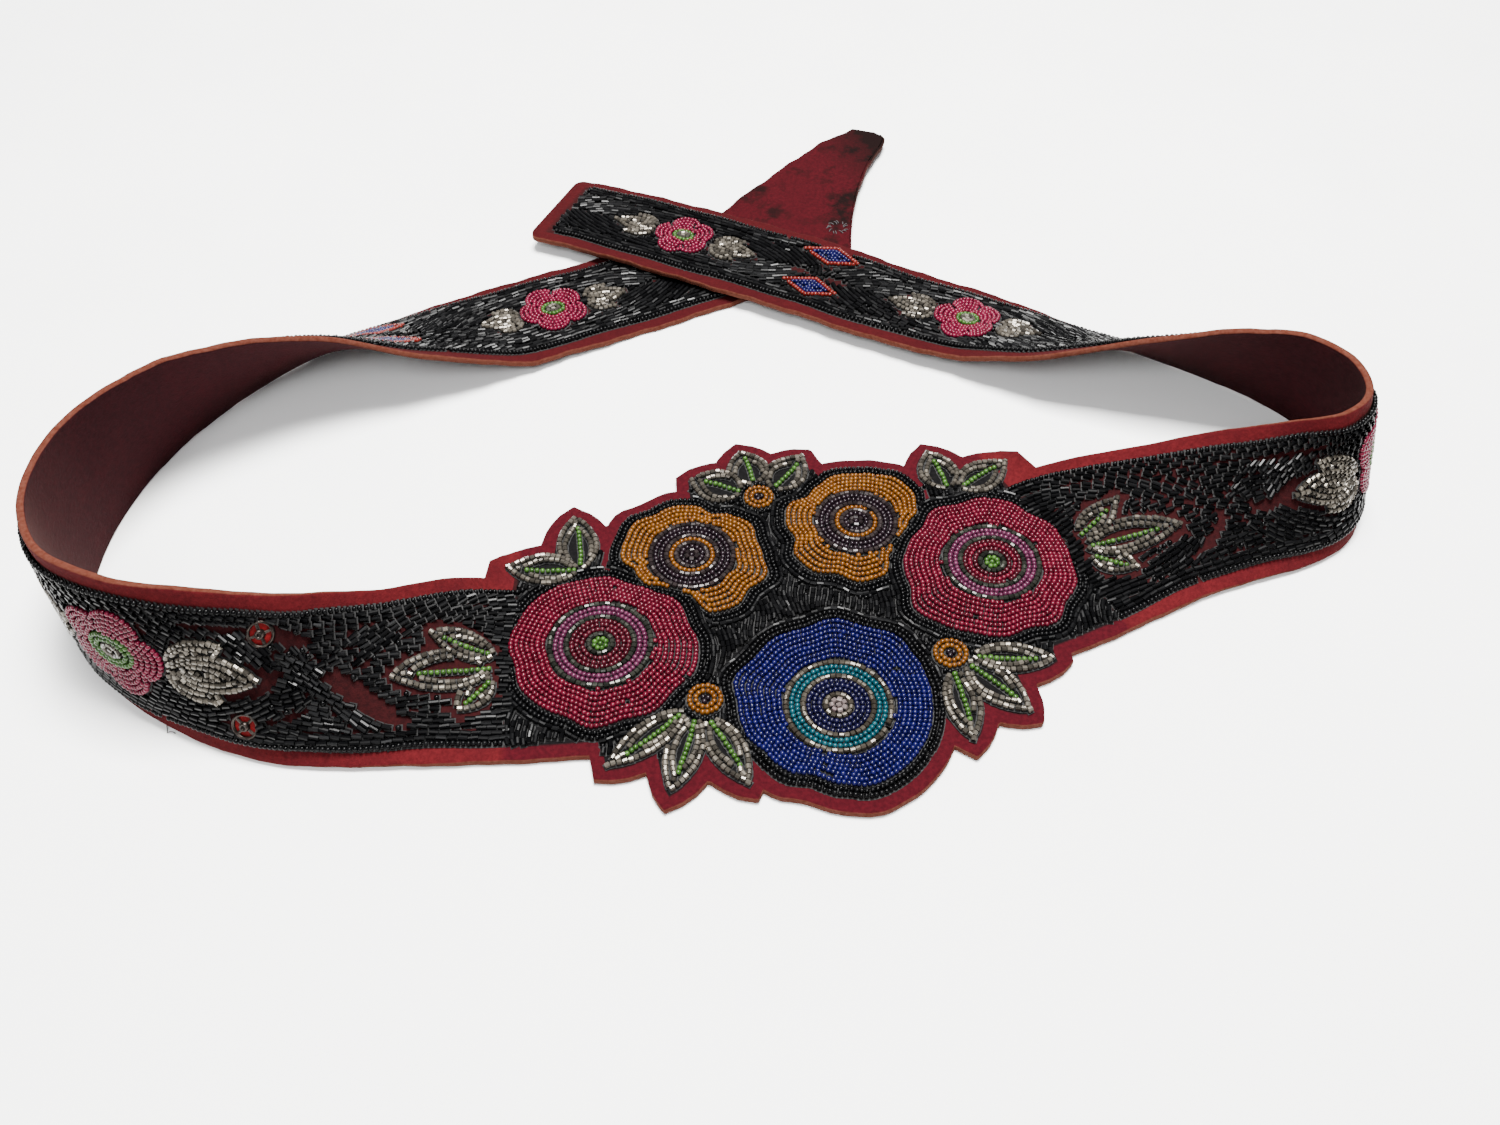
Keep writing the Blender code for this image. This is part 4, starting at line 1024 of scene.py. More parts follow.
def sew_panel():
    """Black ground of the panel: rounds about the flowers, wavy rows, then single beads."""
    cloth = panel_cloth
    node = "field_panel"
    rings = inner_rings()
    start, end = PANEL_SPAN
    places = np.arange(start - 0.004, end + 0.004, 0.0008)
    bounds = np.array([outline_at(s, rings, EDGE_MARGIN, width_at(s) - EDGE_MARGIN) for s in places])
    stops = [petal_outline(*flower, 48, 0.0006) for flower in flowers()]
    stops += [leaf_ring(*leaf, 0.0003) for spray, *leaf in leaves()]
    lens_stops = [leaf_ring(*leaf, 0.0004) for spray, *leaf in lens_leaves()]

    def field(x, y):
        ok = np.ones(len(x), bool)
        for ring in stops:
            ok &= ~inside(ring, x, y)
        for i in np.nonzero(ok)[0]:
            s, t = unroll(x[i], y[i])
            lo = np.interp(s, places, bounds[:, 0])
            hi = np.interp(s, places, bounds[:, 1])
            ok[i] = start - 0.0002 < s < end + 0.0002 and lo + 0.0005 < t < hi - 0.0005
            if ok[i] and (s < start + 0.03 or s > end - 0.03):
                ok[i] = not any(inside(ring, np.array([s]), np.array([t]))[0] for ring in lens_stops)
        return ok

    for name, x, y, radius in flowers():
        for j in range(3 if name in RIMS else 1):
            ring = petal_outline(name, x, y, radius, 120, 0.00090 + 0.00142 * j)
            kind, pitch = ("seed", SEED_PITCH) if j < 2 else ("short", SHORT_PITCH)
            pull(node, kind, "black", cloth, ring, pitch, field, 0.0, True, ROUND_ROOM)
    for j in range(142):
        line = []
        for y in np.linspace(-0.153, -0.020, 70):
            wave = 0.0009 * math.sin(y * 300.0 + j * 0.25) + 0.0020 * math.sin(y * 80.0 + j * 0.06)
            line.append((-0.092 + 0.00152 * j + wave, y))
        pull(node, "short", "black", cloth, line, 0.00188, field, 0.0, False, 0.00110, LEFT_OUT)
    spots = CHANCE.rand(34000, 2) * (0.212, 0.135) + (-0.092, -0.153)
    spots = spots[field(spots[:, 0], spots[:, 1])]
    for px, py in spots:
        cloth.sew(node, "seed", "black", px, py, CHANCE.rand() * 3.14, 0.0, 0.00112)


def add_object(name, data):
    """New object in the scene."""
    obj = bpy.data.objects.new(name, data)
    bpy.context.scene.collection.objects.link(obj)
    return obj


def leather_edge(s, lo, hi):
    """Cut edges with the slight waves of cut suede."""
    wave = 0.00028 * math.sin(s * 310.0 + 0.7) + 0.00018 * math.sin(s * 741.0)
    far = 1.0 if abs(s) > 0.25 else 0.35
    top_wave = 0.00025 * math.sin(s * 263.0 + 2.0) + 0.00016 * math.sin(s * 690.0 + 1.0)
    return lo - wave * far, hi + far * top_wave


def cut_marks(h):
    """Shares of the cut edge's and of the inner face's look, from the share of the thickness."""
    return 1.0 if 0.02 < h < 0.97 else 0.55, 1.0 if h < 0.05 else 0.0


def place_step(s):
    """Step from section to section of the leather: finest in the panel."""
    if -0.085 < s < 0.125:
        return 0.0008
    return 0.0016 if s < -0.505 else 0.0026


def build_leather(paints):
    """The suede as one closed sheet, section by section, with the shares that its look needs."""
    rings = leather_rings()
    inner_hull = inner_rings()
    places = [TIP_AT]
    while places[-1] < END_AT - 0.0060:
        places.append(places[-1] + place_step(places[-1]))
    places += [END_AT - END_CORNER * (1.0 - math.sin(a)) for a in np.linspace(0.0, math.pi / 2.0, 9)]
    outer = 30
    inner = 10
    # Cut edge: distance in from the outline and share of the thickness.
    edge = ((0.00035, 0.99), (0.00008, 0.90), (0.0, 0.62), (0.0, 0.35), (0.00008, 0.10), (0.00030, 0.0))
    verts_s = []
    verts_t = []
    verts_h = []
    zone = []
    for s in places:
        lo, hi = strap_edge(s)
        lo_field = strap_margin(s)
        hi_field = width_at(s) - strap_margin(s)
        if -0.10 < s < 0.13:
            lo, hi = outline_at(s, rings, lo, hi)
        panel = min(max((s - PANEL_SPAN[0]) / 0.0015 + 1.0, 0.0), 1.0)
        panel *= min(max((PANEL_SPAN[1] - s) / 0.0015 + 1.0, 0.0), 1.0)
        if panel > 0.0:
            lo_field, hi_field = outline_at(s, inner_hull, EDGE_MARGIN, width_at(s) - EDGE_MARGIN)
        lo, hi = leather_edge(s, lo, hi)
        bare = s < FIELD_SPAN[0] - 0.001 or s > FIELD_SPAN[1] + 0.001
        line = []
        low = lo + 0.0009
        high = hi - 0.0009
        a = min(max(lo_field, low + 0.0008), high - 0.002)
        b = max(min(hi_field, high - 0.0008), a + 0.001)
        steps = [low, (low + a) / 2.0, a - 0.0004, a + 0.0003]
        steps += list(np.linspace(a + 0.0003, b - 0.0003, outer - 6)[1:-1])
        steps += [b - 0.0003, b + 0.0004, (b + high) / 2.0, high]
        for t in steps:
            black = 0.0 if bare or t < a or t > b else 1.0
            line.append((t, LEATHER, 0.0, 0.0, black, panel))
        for d, h in edge:
            line.append((hi - d, h * LEATHER, *cut_marks(h), 0.0, panel))
        for i in range(inner):
            t = hi - 0.0009 - (hi - lo - 0.0018) * i / (inner - 1)
            line.append((t, 0.0, 0.0, 1.0, 0.0, panel))
        for d, h in reversed(edge):
            line.append((lo + d, h * LEATHER, *cut_marks(h), 0.0, panel))
        for t, h, e, n, f, p in line:
            verts_s.append(s)
            verts_t.append(t)
            verts_h.append(h)
            zone.append((e, n, f, p))
    row = len(line)
    count = len(places)
    faces = []
    for i in range(count - 1):
        for j in range(row):
            k = (j + 1) % row
            faces.append((i * row + j, i * row + k, (i + 1) * row + k, (i + 1) * row + j))
    faces.append(tuple(range(row)))
    faces.append(tuple(range(count * row - 1, (count - 1) * row - 1, -1)))
    places3 = lay_many(verts_s, verts_t, verts_h)
    places3[:, 2] = np.maximum(places3[:, 2], 0.0)
    mesh = bpy.data.meshes.new("belt_leather")
    mesh.from_pydata(places3.tolist(), [], faces)
    zone = np.array(zone, np.float32)
    zone[:row, 0] = 1.0
    zone[-row:, 0] = 1.0
    for n, name in enumerate(("edge", "inner", "field", "panel")):
        attr = mesh.attributes.new(name, "FLOAT", "POINT")
        attr.data.foreach_set("value", np.ascontiguousarray(zone[:, n]))
    along = mesh.attributes.new("along", "FLOAT", "POINT")
    along.data.foreach_set("value", np.array(verts_s, np.float32))
    mesh.polygons.foreach_set("use_smooth", np.ones(len(mesh.polygons), bool))
    obj = add_object("belt_leather", mesh)
    mesh.materials.append(paints["suede"])
    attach(obj, "root")
    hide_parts("leather_belt")


PAINT_ORDER = ("ground", "black", "cobalt", "navy", "teal", "bronze", "rose_silver", "magenta", "wine",
               "mauve", "smoke", "green", "orange", "plum", "smoke_plum", "silver", "pink", "red")


def sewn_mesh(name, beads, plan, paints):
    """One mesh of all the beads of a node."""
    kinds = sorted(set(b[1] for b in beads))
    # The first material is the dark patch under the beads: thread and painted shade.
    used = ["ground"] + sorted(set(b[2] for b in beads), key=PAINT_ORDER.index)
    all_v = []
    all_f = []
    all_m = []
    all_s = []
    all_shade = []
    base = 0
    for kind in kinds:
        rows = [b for b in beads if b[1] == kind]
        shape, quads, patch, smooth = bead_shape(kind)
        n = len(rows)
        x = np.array([b[3] for b in rows])
        y = np.array([b[4] for b in rows])
        ang = np.array([b[5] for b in rows])
        h = np.array([b[6] for b in rows])
        if plan:
            st = np.array([unroll(p, q) for p, q in zip(x, y)])
            head = np.arctan2(np.interp(st[:, 0], S, TY), np.interp(st[:, 0], S, TX))
            x = st[:, 0]
            y = st[:, 1]
            ang = ang - head
        ang = ang + CHANCE.randn(n) * 0.07
        roll = np.clip(CHANCE.randn(n) * (0.22 if smooth else 0.34), -0.5, 0.5)
        tip = CHANCE.randn(n) * 0.05
        size = 1.0 + CHANCE.randn(n)[:, None] * 0.035
        x = x + CHANCE.randn(n) * 0.00005
        y = y + CHANCE.randn(n) * 0.00005
        place = lay_many(x, y, LEATHER + h + np.abs(CHANCE.randn(n)) * 0.00003)
        a, b, c = directions(x, ang)
        ux = np.repeat(shape[None, :, 0], n, 0) * size
        r = SHAPES[kind][1]
        vy = shape[:-4, 1]
        vz = shape[:-4, 2] - r
        uy = np.empty((n, len(shape)))
        uz = np.empty((n, len(shape)))
        # The last four points are the corners of the dark patch under the bead (its thread and painted
        # shade), which doesn't roll or tip.
        cos = np.cos(roll)[:, None]
        sin = np.sin(roll)[:, None]
        uy[:, :-4] = (vy[None, :] * cos - vz[None, :] * sin) * size
        uz[:, :-4] = (vy[None, :] * sin + vz[None, :] * cos) * size + r
        uz[:, :-4] += ux[:, :-4] * tip[:, None]
        uy[:, -4:] = shape[-4:, 1]
        uz[:, -4:] = shape[-4:, 2]
        v = place[:, None, :] + ux[:, :, None] * a[:, None, :] + uy[:, :, None] * b[:, None, :]
        v += uz[:, :, None] * c[:, None, :]
        f = quads[None, :, :] + (np.arange(n) * len(shape))[:, None, None] + base
        m = np.empty((n, len(quads)), np.int32)
        m[:, :] = np.array([used.index(row[2]) for row in rows])[:, None]
        m[:, patch] = 0
        sm = np.full((n, len(quads)), smooth)
        sm[:, patch] = False
        shade = np.repeat(CHANCE.rand(n)[:, None], len(shape), 1)
        all_v.append(v.reshape(-1, 3))
        all_f.append(f.reshape(-1, 4))
        all_m.append(m.reshape(-1))
        all_s.append(sm.reshape(-1))
        all_shade.append(shade.reshape(-1))
        base += n * len(shape)
    mesh = bpy.data.meshes.new(name)
    mesh.from_pydata(np.concatenate(all_v).tolist(), [], np.concatenate(all_f).tolist())
    mesh.polygons.foreach_set("material_index", np.concatenate(all_m))
    mesh.polygons.foreach_set("use_smooth", np.concatenate(all_s))
    attr = mesh.attributes.new("shade", "FLOAT", "POINT")
    attr.data.foreach_set("value", np.concatenate(all_shade).astype(np.float32))
    for paint in used:
        mesh.materials.append(paints[paint])
    return add_object(name, mesh)


def sew_all(paints):
    groups = {}
    for cloth, plan in ((panel_cloth, True), (strap_cloth, False)):
        for bead in cloth.beads:
            groups.setdefault((bead[0], plan), []).append(bead)
    for (node, plan), beads in sorted(groups.items()):
        obj = sewn_mesh("beads_" + node, beads, plan, paints)
        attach(obj, "root")
        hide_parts(node)


def piece(name, verts, faces, paint, smooth=True):
    mesh = bpy.data.meshes.new(name)
    mesh.from_pydata([tuple(v) for v in verts], [], faces)
    mesh.polygons.foreach_set("use_smooth", np.full(len(faces), smooth))
    mesh.materials.append(paint)
    obj = add_object(name, mesh)
    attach(obj, "root")
    return obj


# Turned parts of a snap. Columns: radius as a share of SNAP_RADIUS, height.
SNAP_RIM = ((0.80, 0.0), (0.78, 0.00045), (0.84, 0.0008), (0.93, 0.00085), (1.0, 0.0005), (1.0, 0.0))
SNAP_COLLAR = ((0.13, 0.0008), (0.16, 0.00135), (0.25, 0.00140), (0.33, 0.0011), (0.36, 0.0003), (0.36, 0.0))
SNAP_STUD = ((0.0, 0.0009), (0.06, 0.00105), (0.11, 0.0009), (0.13, 0.0006))
SNAP_PATCH = ((0.0, 0.00025), (0.5, 0.00022), (0.84, 0.00010))


def ring_part(verts, faces, s0, t0, h0, turn, profile, count):
    """A turned part on the strap from a profile of radius and height."""
    base = len(verts)
    m = len(profile)
    for i in range(count):
        a = 2.0 * math.pi * i / count
        for share, h in profile:
            r = max(share * SNAP_RADIUS, 0.00001)
            verts.append((s0 + r * math.cos(a), t0 + r * math.sin(a), h0 + turn * h))
    for i in range(count):
        k = (i + 1) % count
        for j in range(m - 1):
            faces.append((base + i * m + j, base + k * m + j, base + k * m + j + 1, base + i * m + j + 1))


def build_snap(name, node, s0, t0, h0, turn, paints, tilt):
    """Sew-on snap half: ring with spokes and a stud, over the suede that shows through."""
    verts = []
    faces = []
    r = SNAP_RADIUS
    for profile, count in ((SNAP_RIM, 36), (SNAP_COLLAR, 36), (SNAP_STUD, 20)):
        ring_part(verts, faces, s0, t0, h0, turn, profile, count)
    for i in range(4):
        a = tilt + math.pi / 2.0 * i
        base = len(verts)
        w = r * 0.10
        for d in (r * 0.30, r * 0.82):
            for e in (-w, w):
                for h in (0.0001, 0.00055):
                    s = s0 + d * math.cos(a) - e * math.sin(a)
                    t = t0 + d * math.sin(a) + e * math.cos(a)
                    verts.append((s, t, h0 + turn * h))
        for quad in ((1, 3, 7, 5), (0, 1, 5, 4), (2, 6, 7, 3)):
            faces.append(tuple(base + n for n in quad))
    v = lay_many([p[0] for p in verts], [p[1] for p in verts], [p[2] for p in verts])
    obj = piece(name, v.tolist(), faces, paints["snap"])
    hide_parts(node)
    verts = []
    faces = []
    ring_part(verts, faces, s0, t0, h0, turn, SNAP_PATCH, 24)
    v = lay_many([p[0] for p in verts], [p[1] for p in verts], [p[2] for p in verts])
    patch = piece(name + "_patch", v.tolist(), faces, paints["red_cloth"])


def tube(verts, faces, points, radius, sides=5):
    """A round thread along points of the scene."""
    base = len(verts)
    p = np.array(points, float)
    d = np.gradient(p, axis=0)
    d /= np.linalg.norm(d, axis=1)[:, None]
    up = np.array((0.13, 0.21, 0.97))
    for i in range(len(p)):
        side = np.cross(d[i], up)
        side /= np.linalg.norm(side)
        top = np.cross(side, d[i])
        for j in range(sides):
            a = 2.0 * math.pi * j / sides
            verts.append(tuple(p[i] + radius * (math.cos(a) * side + math.sin(a) * top)))
    for i in range(len(p) - 1):
        for j in range(sides):
            k = (j + 1) % sides
            low = base + i * sides
            faces.append((low + j, low + k, low + sides + k, low + sides + j))
    faces.append(tuple(base + j for j in range(sides)))
    faces.append(tuple(base + (len(p) - 1) * sides + j for j in reversed(range(sides))))


def build_threads(paints):
    """Stitches that hold the snap under the tongue, and the hooked end of a thread."""
    verts = []
    faces = []
    s0 = TIP_AT + TONGUE_SNAP[0] * STRAP_WIDTH
    t0 = TONGUE_SNAP[1] * STRAP_WIDTH
    for i in range(14):
        a = 2.0 * math.pi * i / 14 + 0.12 * math.sin(i * 2.3)
        r0 = SNAP_RADIUS * (0.62 + 0.12 * math.sin(i * 1.7))
        r1 = SNAP_RADIUS * (1.02 + 0.10 * math.sin(i * 3.1))
        q = np.linspace(0.0, 1.0, 5)
        s = s0 + (r0 + (r1 - r0) * q) * np.cos(a + 0.25 * q)
        t = t0 + (r0 + (r1 - r0) * q) * np.sin(a + 0.25 * q)
        h = LEATHER + 0.00005 + 0.00028 * np.sin(math.pi * q)
        tube(verts, faces, lay_many(s, t, h), 0.00016)
    for x_a, y_a, x_b, y_b, bow in LOOSE_ENDS:
        q = np.linspace(0.0, 1.0, 16)
        x = x_a + (x_b - x_a) * q + bow * np.sin(math.pi * q)
        y = y_a + (y_b - y_a) * q + 0.5 * bow * np.sin(2.0 * math.pi * q)
        tube(verts, faces, np.stack((x, y, 0.00016 + 0.0006 * q * (1.0 - q)), axis=-1), 0.00011)
    obj = piece("loose_threads", verts, faces, paints["thread"])


def new_paint(name):
    mat = bpy.data.materials.new(name)
    mat.use_nodes = True
    tree = mat.node_tree
    shader = tree.nodes["Principled BSDF"]
    return mat, tree, shader


def mix(tree, factor, a, b, mode="MIX"):
    """Mix node; a, b and factor are sockets or values."""
    node = tree.nodes.new("ShaderNodeMix")
    node.data_type = "RGBA"
    node.blend_type = mode
    for socket, value in ((node.inputs["Factor"], factor), (node.inputs[6], a), (node.inputs[7], b)):
        if isinstance(value, (int, float)):
            socket.default_value = value
        elif isinstance(value, tuple):
            socket.default_value = (*value, 1.0)
        else:
            tree.links.new(value, socket)
    return node.outputs[2]


def noise(tree, coords, scale, detail=4.0, rough=0.55):
    node = tree.nodes.new("ShaderNodeTexNoise")
    node.inputs["Scale"].default_value = scale
    node.inputs["Detail"].default_value = detail
    node.inputs["Roughness"].default_value = rough
    tree.links.new(coords, node.inputs["Vector"])
    return node.outputs["Fac"]


def ramp(tree, value, low, high, a=0.0, b=1.0):
    node = tree.nodes.new("ShaderNodeMapRange")
    node.inputs["From Min"].default_value = low
    node.inputs["From Max"].default_value = high
    node.inputs["To Min"].default_value = a
    node.inputs["To Max"].default_value = b
    tree.links.new(value, node.inputs["Value"])
    return node.outputs["Result"]


def attribute(tree, name):
    node = tree.nodes.new("ShaderNodeAttribute")
    node.attribute_name = name
    return node.outputs["Fac"]


def math_node(tree, op, a, b):
    node = tree.nodes.new("ShaderNodeMath")
    node.operation = op
    for socket, value in zip(node.inputs, (a, b)):
        if isinstance(value, (int, float)):
            socket.default_value = value
        else:
            tree.links.new(value, socket)
    return node.outputs[0]


def times(tree, a, b):
    return math_node(tree, "MULTIPLY", a, b)


def plus(tree, a, b):
    return math_node(tree, "ADD", a, b)


def object_coords(tree):
    return tree.nodes.new("ShaderNodeTexCoord").outputs["Object"]


def add_bump(tree, shader, height, strength, distance):
    node = tree.nodes.new("ShaderNodeBump")
    node.inputs["Strength"].default_value = strength
    node.inputs["Distance"].default_value = distance
    tree.links.new(height, node.inputs["Height"])
    tree.links.new(node.outputs["Normal"], shader.inputs["Normal"])


def suede():
    mat, tree, shader = new_paint("suede_leather")
    c = object_coords(tree)
    fine = noise(tree, c, 2600.0, 3.0, 0.7)
    nap = noise(tree, c, 900.0, 5.0, 0.65)
    blot = noise(tree, c, 110.0, 4.0, 0.6)
    wide = noise(tree, c, 34.0, 3.0, 0.5)

    def napped(dark, light):
        return mix(tree, ramp(tree, nap, 0.35, 0.70), dark, light)

    bright = napped((0.03339, 0.002188, 0.003325), (0.05692, 0.004376, 0.005985))
    bright = mix(tree, ramp(tree, blot, 0.45, 0.75, 0.0, 0.55), bright, (0.02213, 0.001515, 0.003192))
    bright = mix(tree, ramp(tree, fine, 0.50, 0.80, 0.0, 0.30), bright, (0.07779, 0.009425, 0.009576))
    # Painted shade: towards the far ends of the strap, on the back straps, the bright suede is mixed towards
    # a deep dark red.
    far = ramp(tree, math_node(tree, "ABSOLUTE", attribute(tree, "along"), 0.0), 0.19, 0.26)
    bright = mix(tree, times(tree, far, 0.6), bright, (0.0108, 0.000768, 0.00126))
    rim = napped((0.01972, 0.001064, 0.002646), (0.03629, 0.002067, 0.004536))
    bright = mix(tree, attribute(tree, "panel"), bright, rim)
    # Bare suede among the beads is darker: partly its own stain, partly painted shade between the raised
    # beads. In the panel it becomes the black-stained ground.
    bare_stain_and_shade = napped((0.008607, 0.0015, 0.001872), (0.01836, 0.002686, 0.003089))
    ground = napped((0.00135, 0.00135, 0.00153), (0.0036, 0.00342, 0.00369))
    bare_stain_and_shade = mix(tree, attribute(tree, "panel"), bare_stain_and_shade, ground)
    face = mix(tree, attribute(tree, "field"), bright, bare_stain_and_shade)
    # The bare tongue is darker, with spots of dark stain.
    away = ramp(tree, attribute(tree, "along"), -0.470, -0.455, 1.0, 0.0)
    tongue = napped((0.0162, 0.0008467, 0.001938), (0.02916, 0.001512, 0.003179))
    stain = ramp(tree, noise(tree, c, 75.0, 5.0, 0.62), 0.50, 0.62)
    tip = ramp(tree, attribute(tree, "along"), -0.547, -0.520, 1.0, 0.0)
    stain = times(tree, stain, ramp(tree, wide, 0.36, 0.54, 0.3, 1.0))
    stain = math_node(tree, "MINIMUM", plus(tree, stain, tip), 1.0)
    tongue = mix(tree, stain, tongue, (0.00308, 0.00096, 0.00096))
    face = mix(tree, away, face, tongue)
    back = napped((0.009331, 0.001009, 0.00205), (0.01733, 0.001615, 0.003182))
    back = mix(tree, ramp(tree, blot, 0.50, 0.80, 0.0, 0.4), back, (0.024, 0.001711, 0.003115))
    face = mix(tree, attribute(tree, "inner"), face, back)
    tan = napped((0.04427, 0.01032, 0.005544), (0.0708, 0.02356, 0.01584))
    cut = ramp(tree, plus(tree, attribute(tree, "edge"), times(tree, fine, 0.5)), 0.75, 1.15)
    cut = times(tree, cut, ramp(tree, away, 0.0, 1.0, 1.0, 0.20))
    face = mix(tree, cut, face, tan)
    tree.links.new(face, shader.inputs["Base Color"])
    shader.inputs["Roughness"].default_value = 0.92
    shader.inputs["Specular IOR Level"].default_value = 0.05
    shader.inputs["Sheen Weight"].default_value = 0.02
    shader.inputs["Sheen Roughness"].default_value = 0.45
    shader.inputs["Sheen Tint"].default_value = (0.90, 0.45, 0.35, 1.0)
    add_bump(tree, shader, plus(tree, nap, times(tree, fine, 0.6)), 0.55, 0.00035)
    return mat


# Glass of the beads. Columns: colour of the darker and the lighter beads, roughness, metal, coat.
GLASS = {
    "black": ((0.00033, 0.00033, 0.00045), (0.0012, 0.0012, 0.0015), 0.27, 0, 0),
    "cobalt": ((0.0003808, 0.000273, 0.01408), (0.00117, 0.000756, 0.03659), 0.22, 0, 0.08),
    "navy": ((0.0009216, 0.0007056, 0.00864), (0.002304, 0.001814, 0.01728), 0.22, 0, 0.08),
    "teal": ((0.00054, 0.01782, 0.02592), (0.0018, 0.03726, 0.0486), 0.22, 0, 0.08),
    "bronze": ((0.015, 0.012, 0.00875), (0.0525, 0.045, 0.035), 0.2, 0.55, 0.08),
    "rose_silver": ((0.045, 0.0275, 0.03), (0.13, 0.105, 0.1), 0.2, 0.4, 0.08),
    "magenta": ((0.02867, 0.000544, 0.003478), (0.07277, 0.002144, 0.01047), 0.2, 0.15, 0.08),
    "wine": ((0.0168, 0.000765, 0.002655), (0.0399, 0.00189, 0.006435), 0.22, 0.1, 0.08),
    "mauve": ((0.03321, 0.004452, 0.01596), (0.06293, 0.01197, 0.03352), 0.22, 0.1, 0.08),
    "smoke": ((0.0045, 0.005, 0.004), (0.0225, 0.02375, 0.01875), 0.18, 0.5, 0.08),
    "green": ((0.0105, 0.0312, 0.00378), (0.0294, 0.0768, 0.0105), 0.25, 0, 0.08),
    "orange": ((0.05762, 0.01702, 0.001134), (0.094, 0.03283, 0.002592), 0.24, 0.1, 0.08),
    "plum": ((0.003024, 0.00105, 0.002424), (0.00756, 0.003003, 0.005544), 0.24, 0.1, 0.08),
    "smoke_plum": ((0.00486, 0.002916, 0.003564), (0.0162, 0.01134, 0.01134), 0.22, 0.3, 0.08),
    "silver": ((0.018, 0.01565, 0.013), (0.108, 0.0955, 0.078), 0.2, 0.6, 0.08),
    "pink": ((0.0546, 0.0006894, 0.007669), (0.1014, 0.002758, 0.01858), 0.2, 0.1, 0.08),
    "red": ((0.0546, 0.00236, 0.00168), (0.1008, 0.0084, 0.00504), 0.25, 0, 0.08),
}


def glass(name):
    dark, light, rough, metal, coat = GLASS[name]
    mat, tree, shader = new_paint("glass_" + name)
    shade = attribute(tree, "shade")
    grain = noise(tree, object_coords(tree), 1500.0, 2.0, 0.5)
    value = plus(tree, times(tree, shade, 0.75), times(tree, grain, 0.35))
    tree.links.new(mix(tree, ramp(tree, value, 0.08, 0.95), dark, light), shader.inputs["Base Color"])
    tree.links.new(ramp(tree, shade, 0.0, 1.0, rough * 0.7, rough * 1.6), shader.inputs["Roughness"])
    shader.inputs["Metallic"].default_value = metal
    shader.inputs["Specular IOR Level"].default_value = 0.08 if name == "black" else 0.18
    shader.inputs["Coat Weight"].default_value = coat
    shader.inputs["Coat Roughness"].default_value = 0.10
    return mat


def plain(name, dark, light, rough, metal=0.0, scale=900.0, bump=0.0002):
    mat, tree, shader = new_paint(name)
    c = object_coords(tree)
    value = noise(tree, c, scale, 4.0, 0.6)
    tree.links.new(mix(tree, ramp(tree, value, 0.35, 0.68), dark, light), shader.inputs["Base Color"])
    tree.links.new(ramp(tree, value, 0.3, 0.7, rough * 0.8, rough * 1.15), shader.inputs["Roughness"])
    shader.inputs["Metallic"].default_value = metal
    add_bump(tree, shader, value, 0.4, bump)
    return mat


def mix_paints():
    paints = {name: glass(name) for name in GLASS}
    paints["suede"] = suede()
    # Near-black patches under every bead: partly thread, partly painted shade between the beads.
    paints["ground"] = plain("bead_thread_and_shade", (0.00105, 0.00105, 0.00105), (0.00315, 0.0028, 0.00315), 0.9)
    metal = ((0.009, 0.007, 0.0065), (0.04, 0.031, 0.026))
    paints["snap"] = plain("snap_blackened", *metal, 0.34, 0.9, 1400.0, 0.00008)
    paints["red_cloth"] = plain("snap_backing", (0.057, 0.0015, 0.0021), (0.0988, 0.0042, 0.0048), 0.6)
    paints["red_cloth"].node_tree.nodes["Principled BSDF"].inputs["Specular IOR Level"].default_value = 0.05
    paints["thread"] = plain("dark_thread", (0.010, 0.008, 0.010), (0.040, 0.034, 0.036), 0.8)
    return paints


def light(name, place, aim, size, power, colour):
    data = bpy.data.lights.new(name, "AREA")
    data.shape = "RECTANGLE"
    data.size = size[0]
    data.size_y = size[1]
    data.energy = power
    data.color = colour
    obj = add_object(name, data)
    obj.location = place
    obj.rotation_euler = (Vector(aim) - Vector(place)).to_track_quat("-Z", "Y").to_euler()


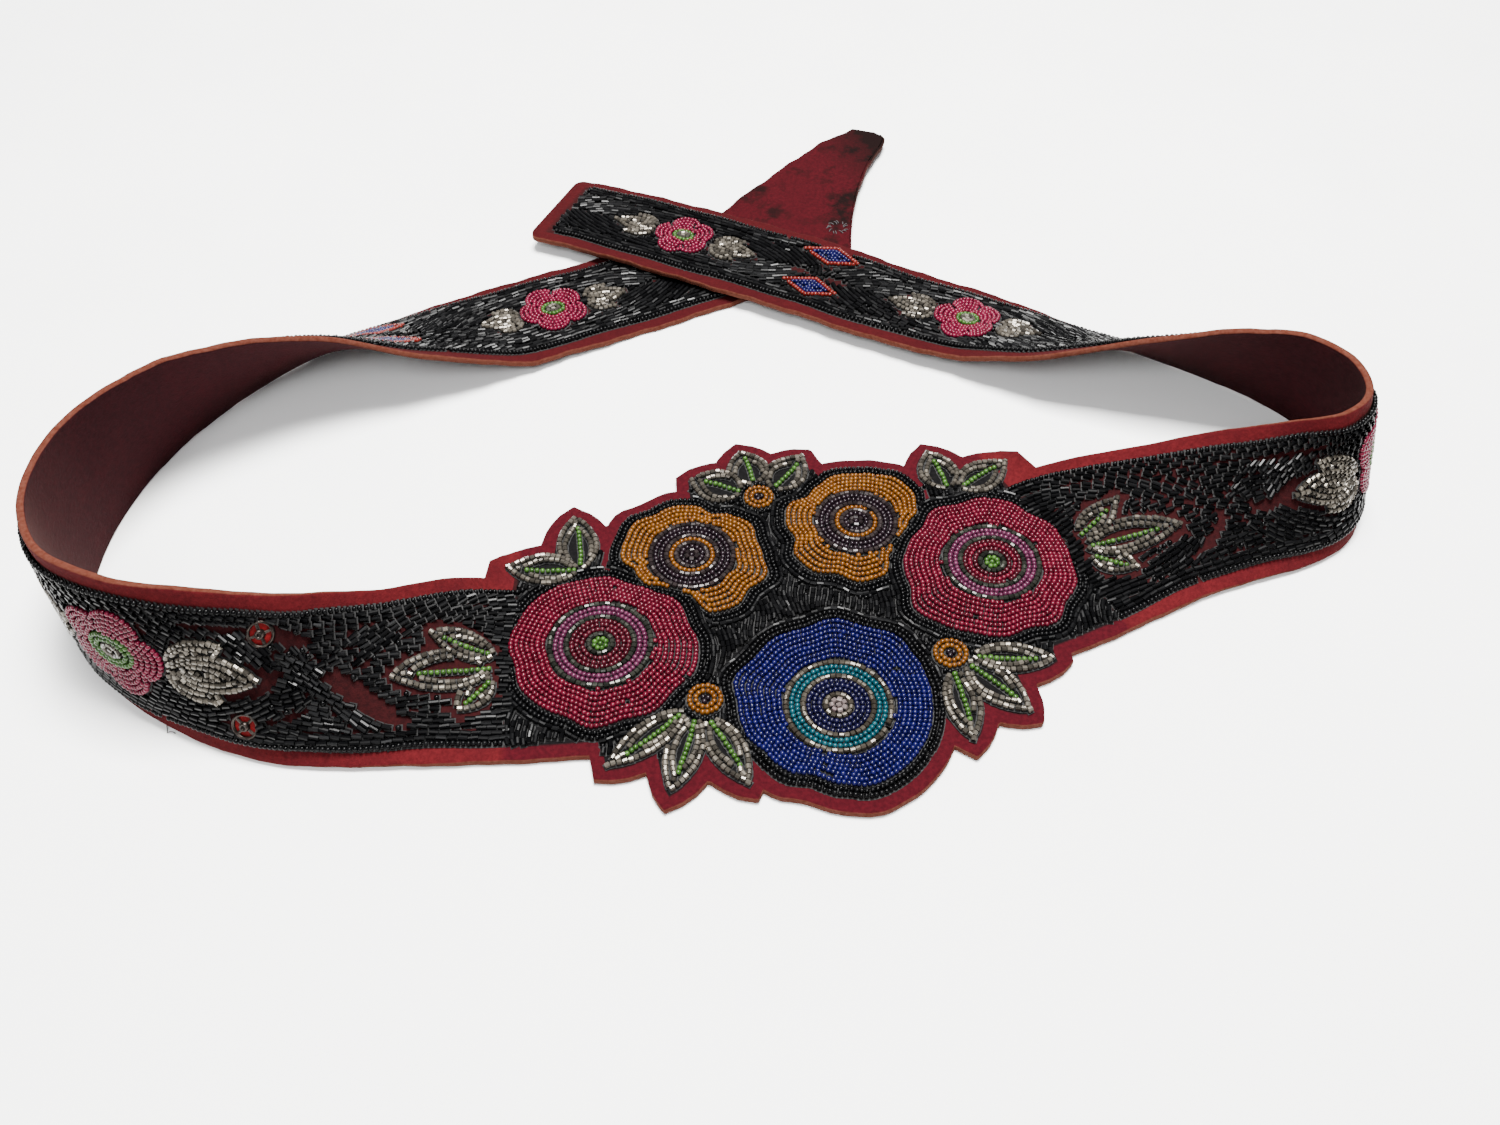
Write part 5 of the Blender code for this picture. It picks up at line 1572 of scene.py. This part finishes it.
def set_stage():
    verts = [(-3.0, -3.0, 0.0), (3.0, -3.0, 0.0), (3.0, 3.0, 0.0), (-3.0, 3.0, 0.0)]
    mesh = bpy.data.meshes.new("floor")
    mesh.from_pydata(verts, [], [(0, 1, 2, 3)])
    floor = add_object("floor", mesh)
    floor.location.z = -0.00012
    mesh.materials.append(plain("pale_floor", (0.94, 0.945, 0.94), (0.96, 0.965, 0.96), 0.7, 0.0, 12.0, 0.0))
    world = bpy.data.worlds.new("studio")
    bpy.context.scene.world = world
    world.use_nodes = True
    world.node_tree.nodes["Background"].inputs["Color"].default_value = (1.0, 1.0, 1.0, 1.0)
    world.node_tree.nodes["Background"].inputs["Strength"].default_value = 0.65
    light("key", (0.05, 0.15, 1.15), (0.02, -0.02, 0.0), (0.45, 0.45), 84.0, (1.0, 0.99, 0.97))
    light("front", (-0.20, -0.70, 0.85), (0.0, -0.05, 0.0), (0.4, 0.3), 7.0, (0.98, 0.99, 1.0))
    cam = bpy.data.cameras.new("photo_camera")
    cam.lens = 31.2
    cam.sensor_width = 36.0
    cam.clip_start = 0.01
    view = add_object("photo_camera", cam)
    view.location = (0.003 - CENTRE_X, -0.308 - CENTRE_Y, 0.283)
    view.rotation_euler = (math.radians(40.0), 0.0, 0.0)
    bpy.context.scene.camera = view


# The hooked end of thread on the floor, in two lengths. Columns: start x and y, end x and y, bow.
LOOSE_ENDS = (
    (-0.1440, -0.1196, -0.1458, -0.1242, -0.0016),
    (-0.1458, -0.1242, -0.1436, -0.1248, -0.0006),
)
# Stretches where two bands cross. Columns: from and to.
WEAVES = ((-0.239, -0.206), (-0.119, -0.100), (0.140, 0.160), (0.248, 0.300))
# Ends of lenses that rows close: strap flower and side.
CLOSED = (("back_left", -1), ("back_left", 1), ("hidden_left", -1), ("back_right", 1),
          ("end_right", -1), ("end_right", 1))


def main():
    gather_stops()
    for name, *spot in flowers():
        if name in HEARTS:
            sew_flower(name, *spot)
        else:
            sew_bud(name, *spot)
    sew_sprays()
    for name, s0, radius, leaf_length, leaf_half, lens_half, height in strap_flowers():
        sew_strap_flower(name, s0, radius, leaf_length, leaf_half)
    sew_diamonds()
    sew_bands()
    sew_panel()
    paints = mix_paints()
    build_leather(paints)
    sew_all(paints)
    for (place, across), word, tilt in zip(SNAPS, ("upper", "lower"), (0.4, 0.9)):
        spot = (place * STRAP_WIDTH, across * STRAP_WIDTH, LEATHER + 0.0001)
        build_snap("snap_%s_detail" % word, "snap_" + word, *spot, 1.0, paints, tilt)
    spot = (TIP_AT + TONGUE_SNAP[0] * STRAP_WIDTH, TONGUE_SNAP[1] * STRAP_WIDTH, -0.0001)
    build_snap("snap_tongue_detail", "snap_tongue", *spot, -1.0, paints, 0.2)
    build_threads(paints)
    set_stage()


main()
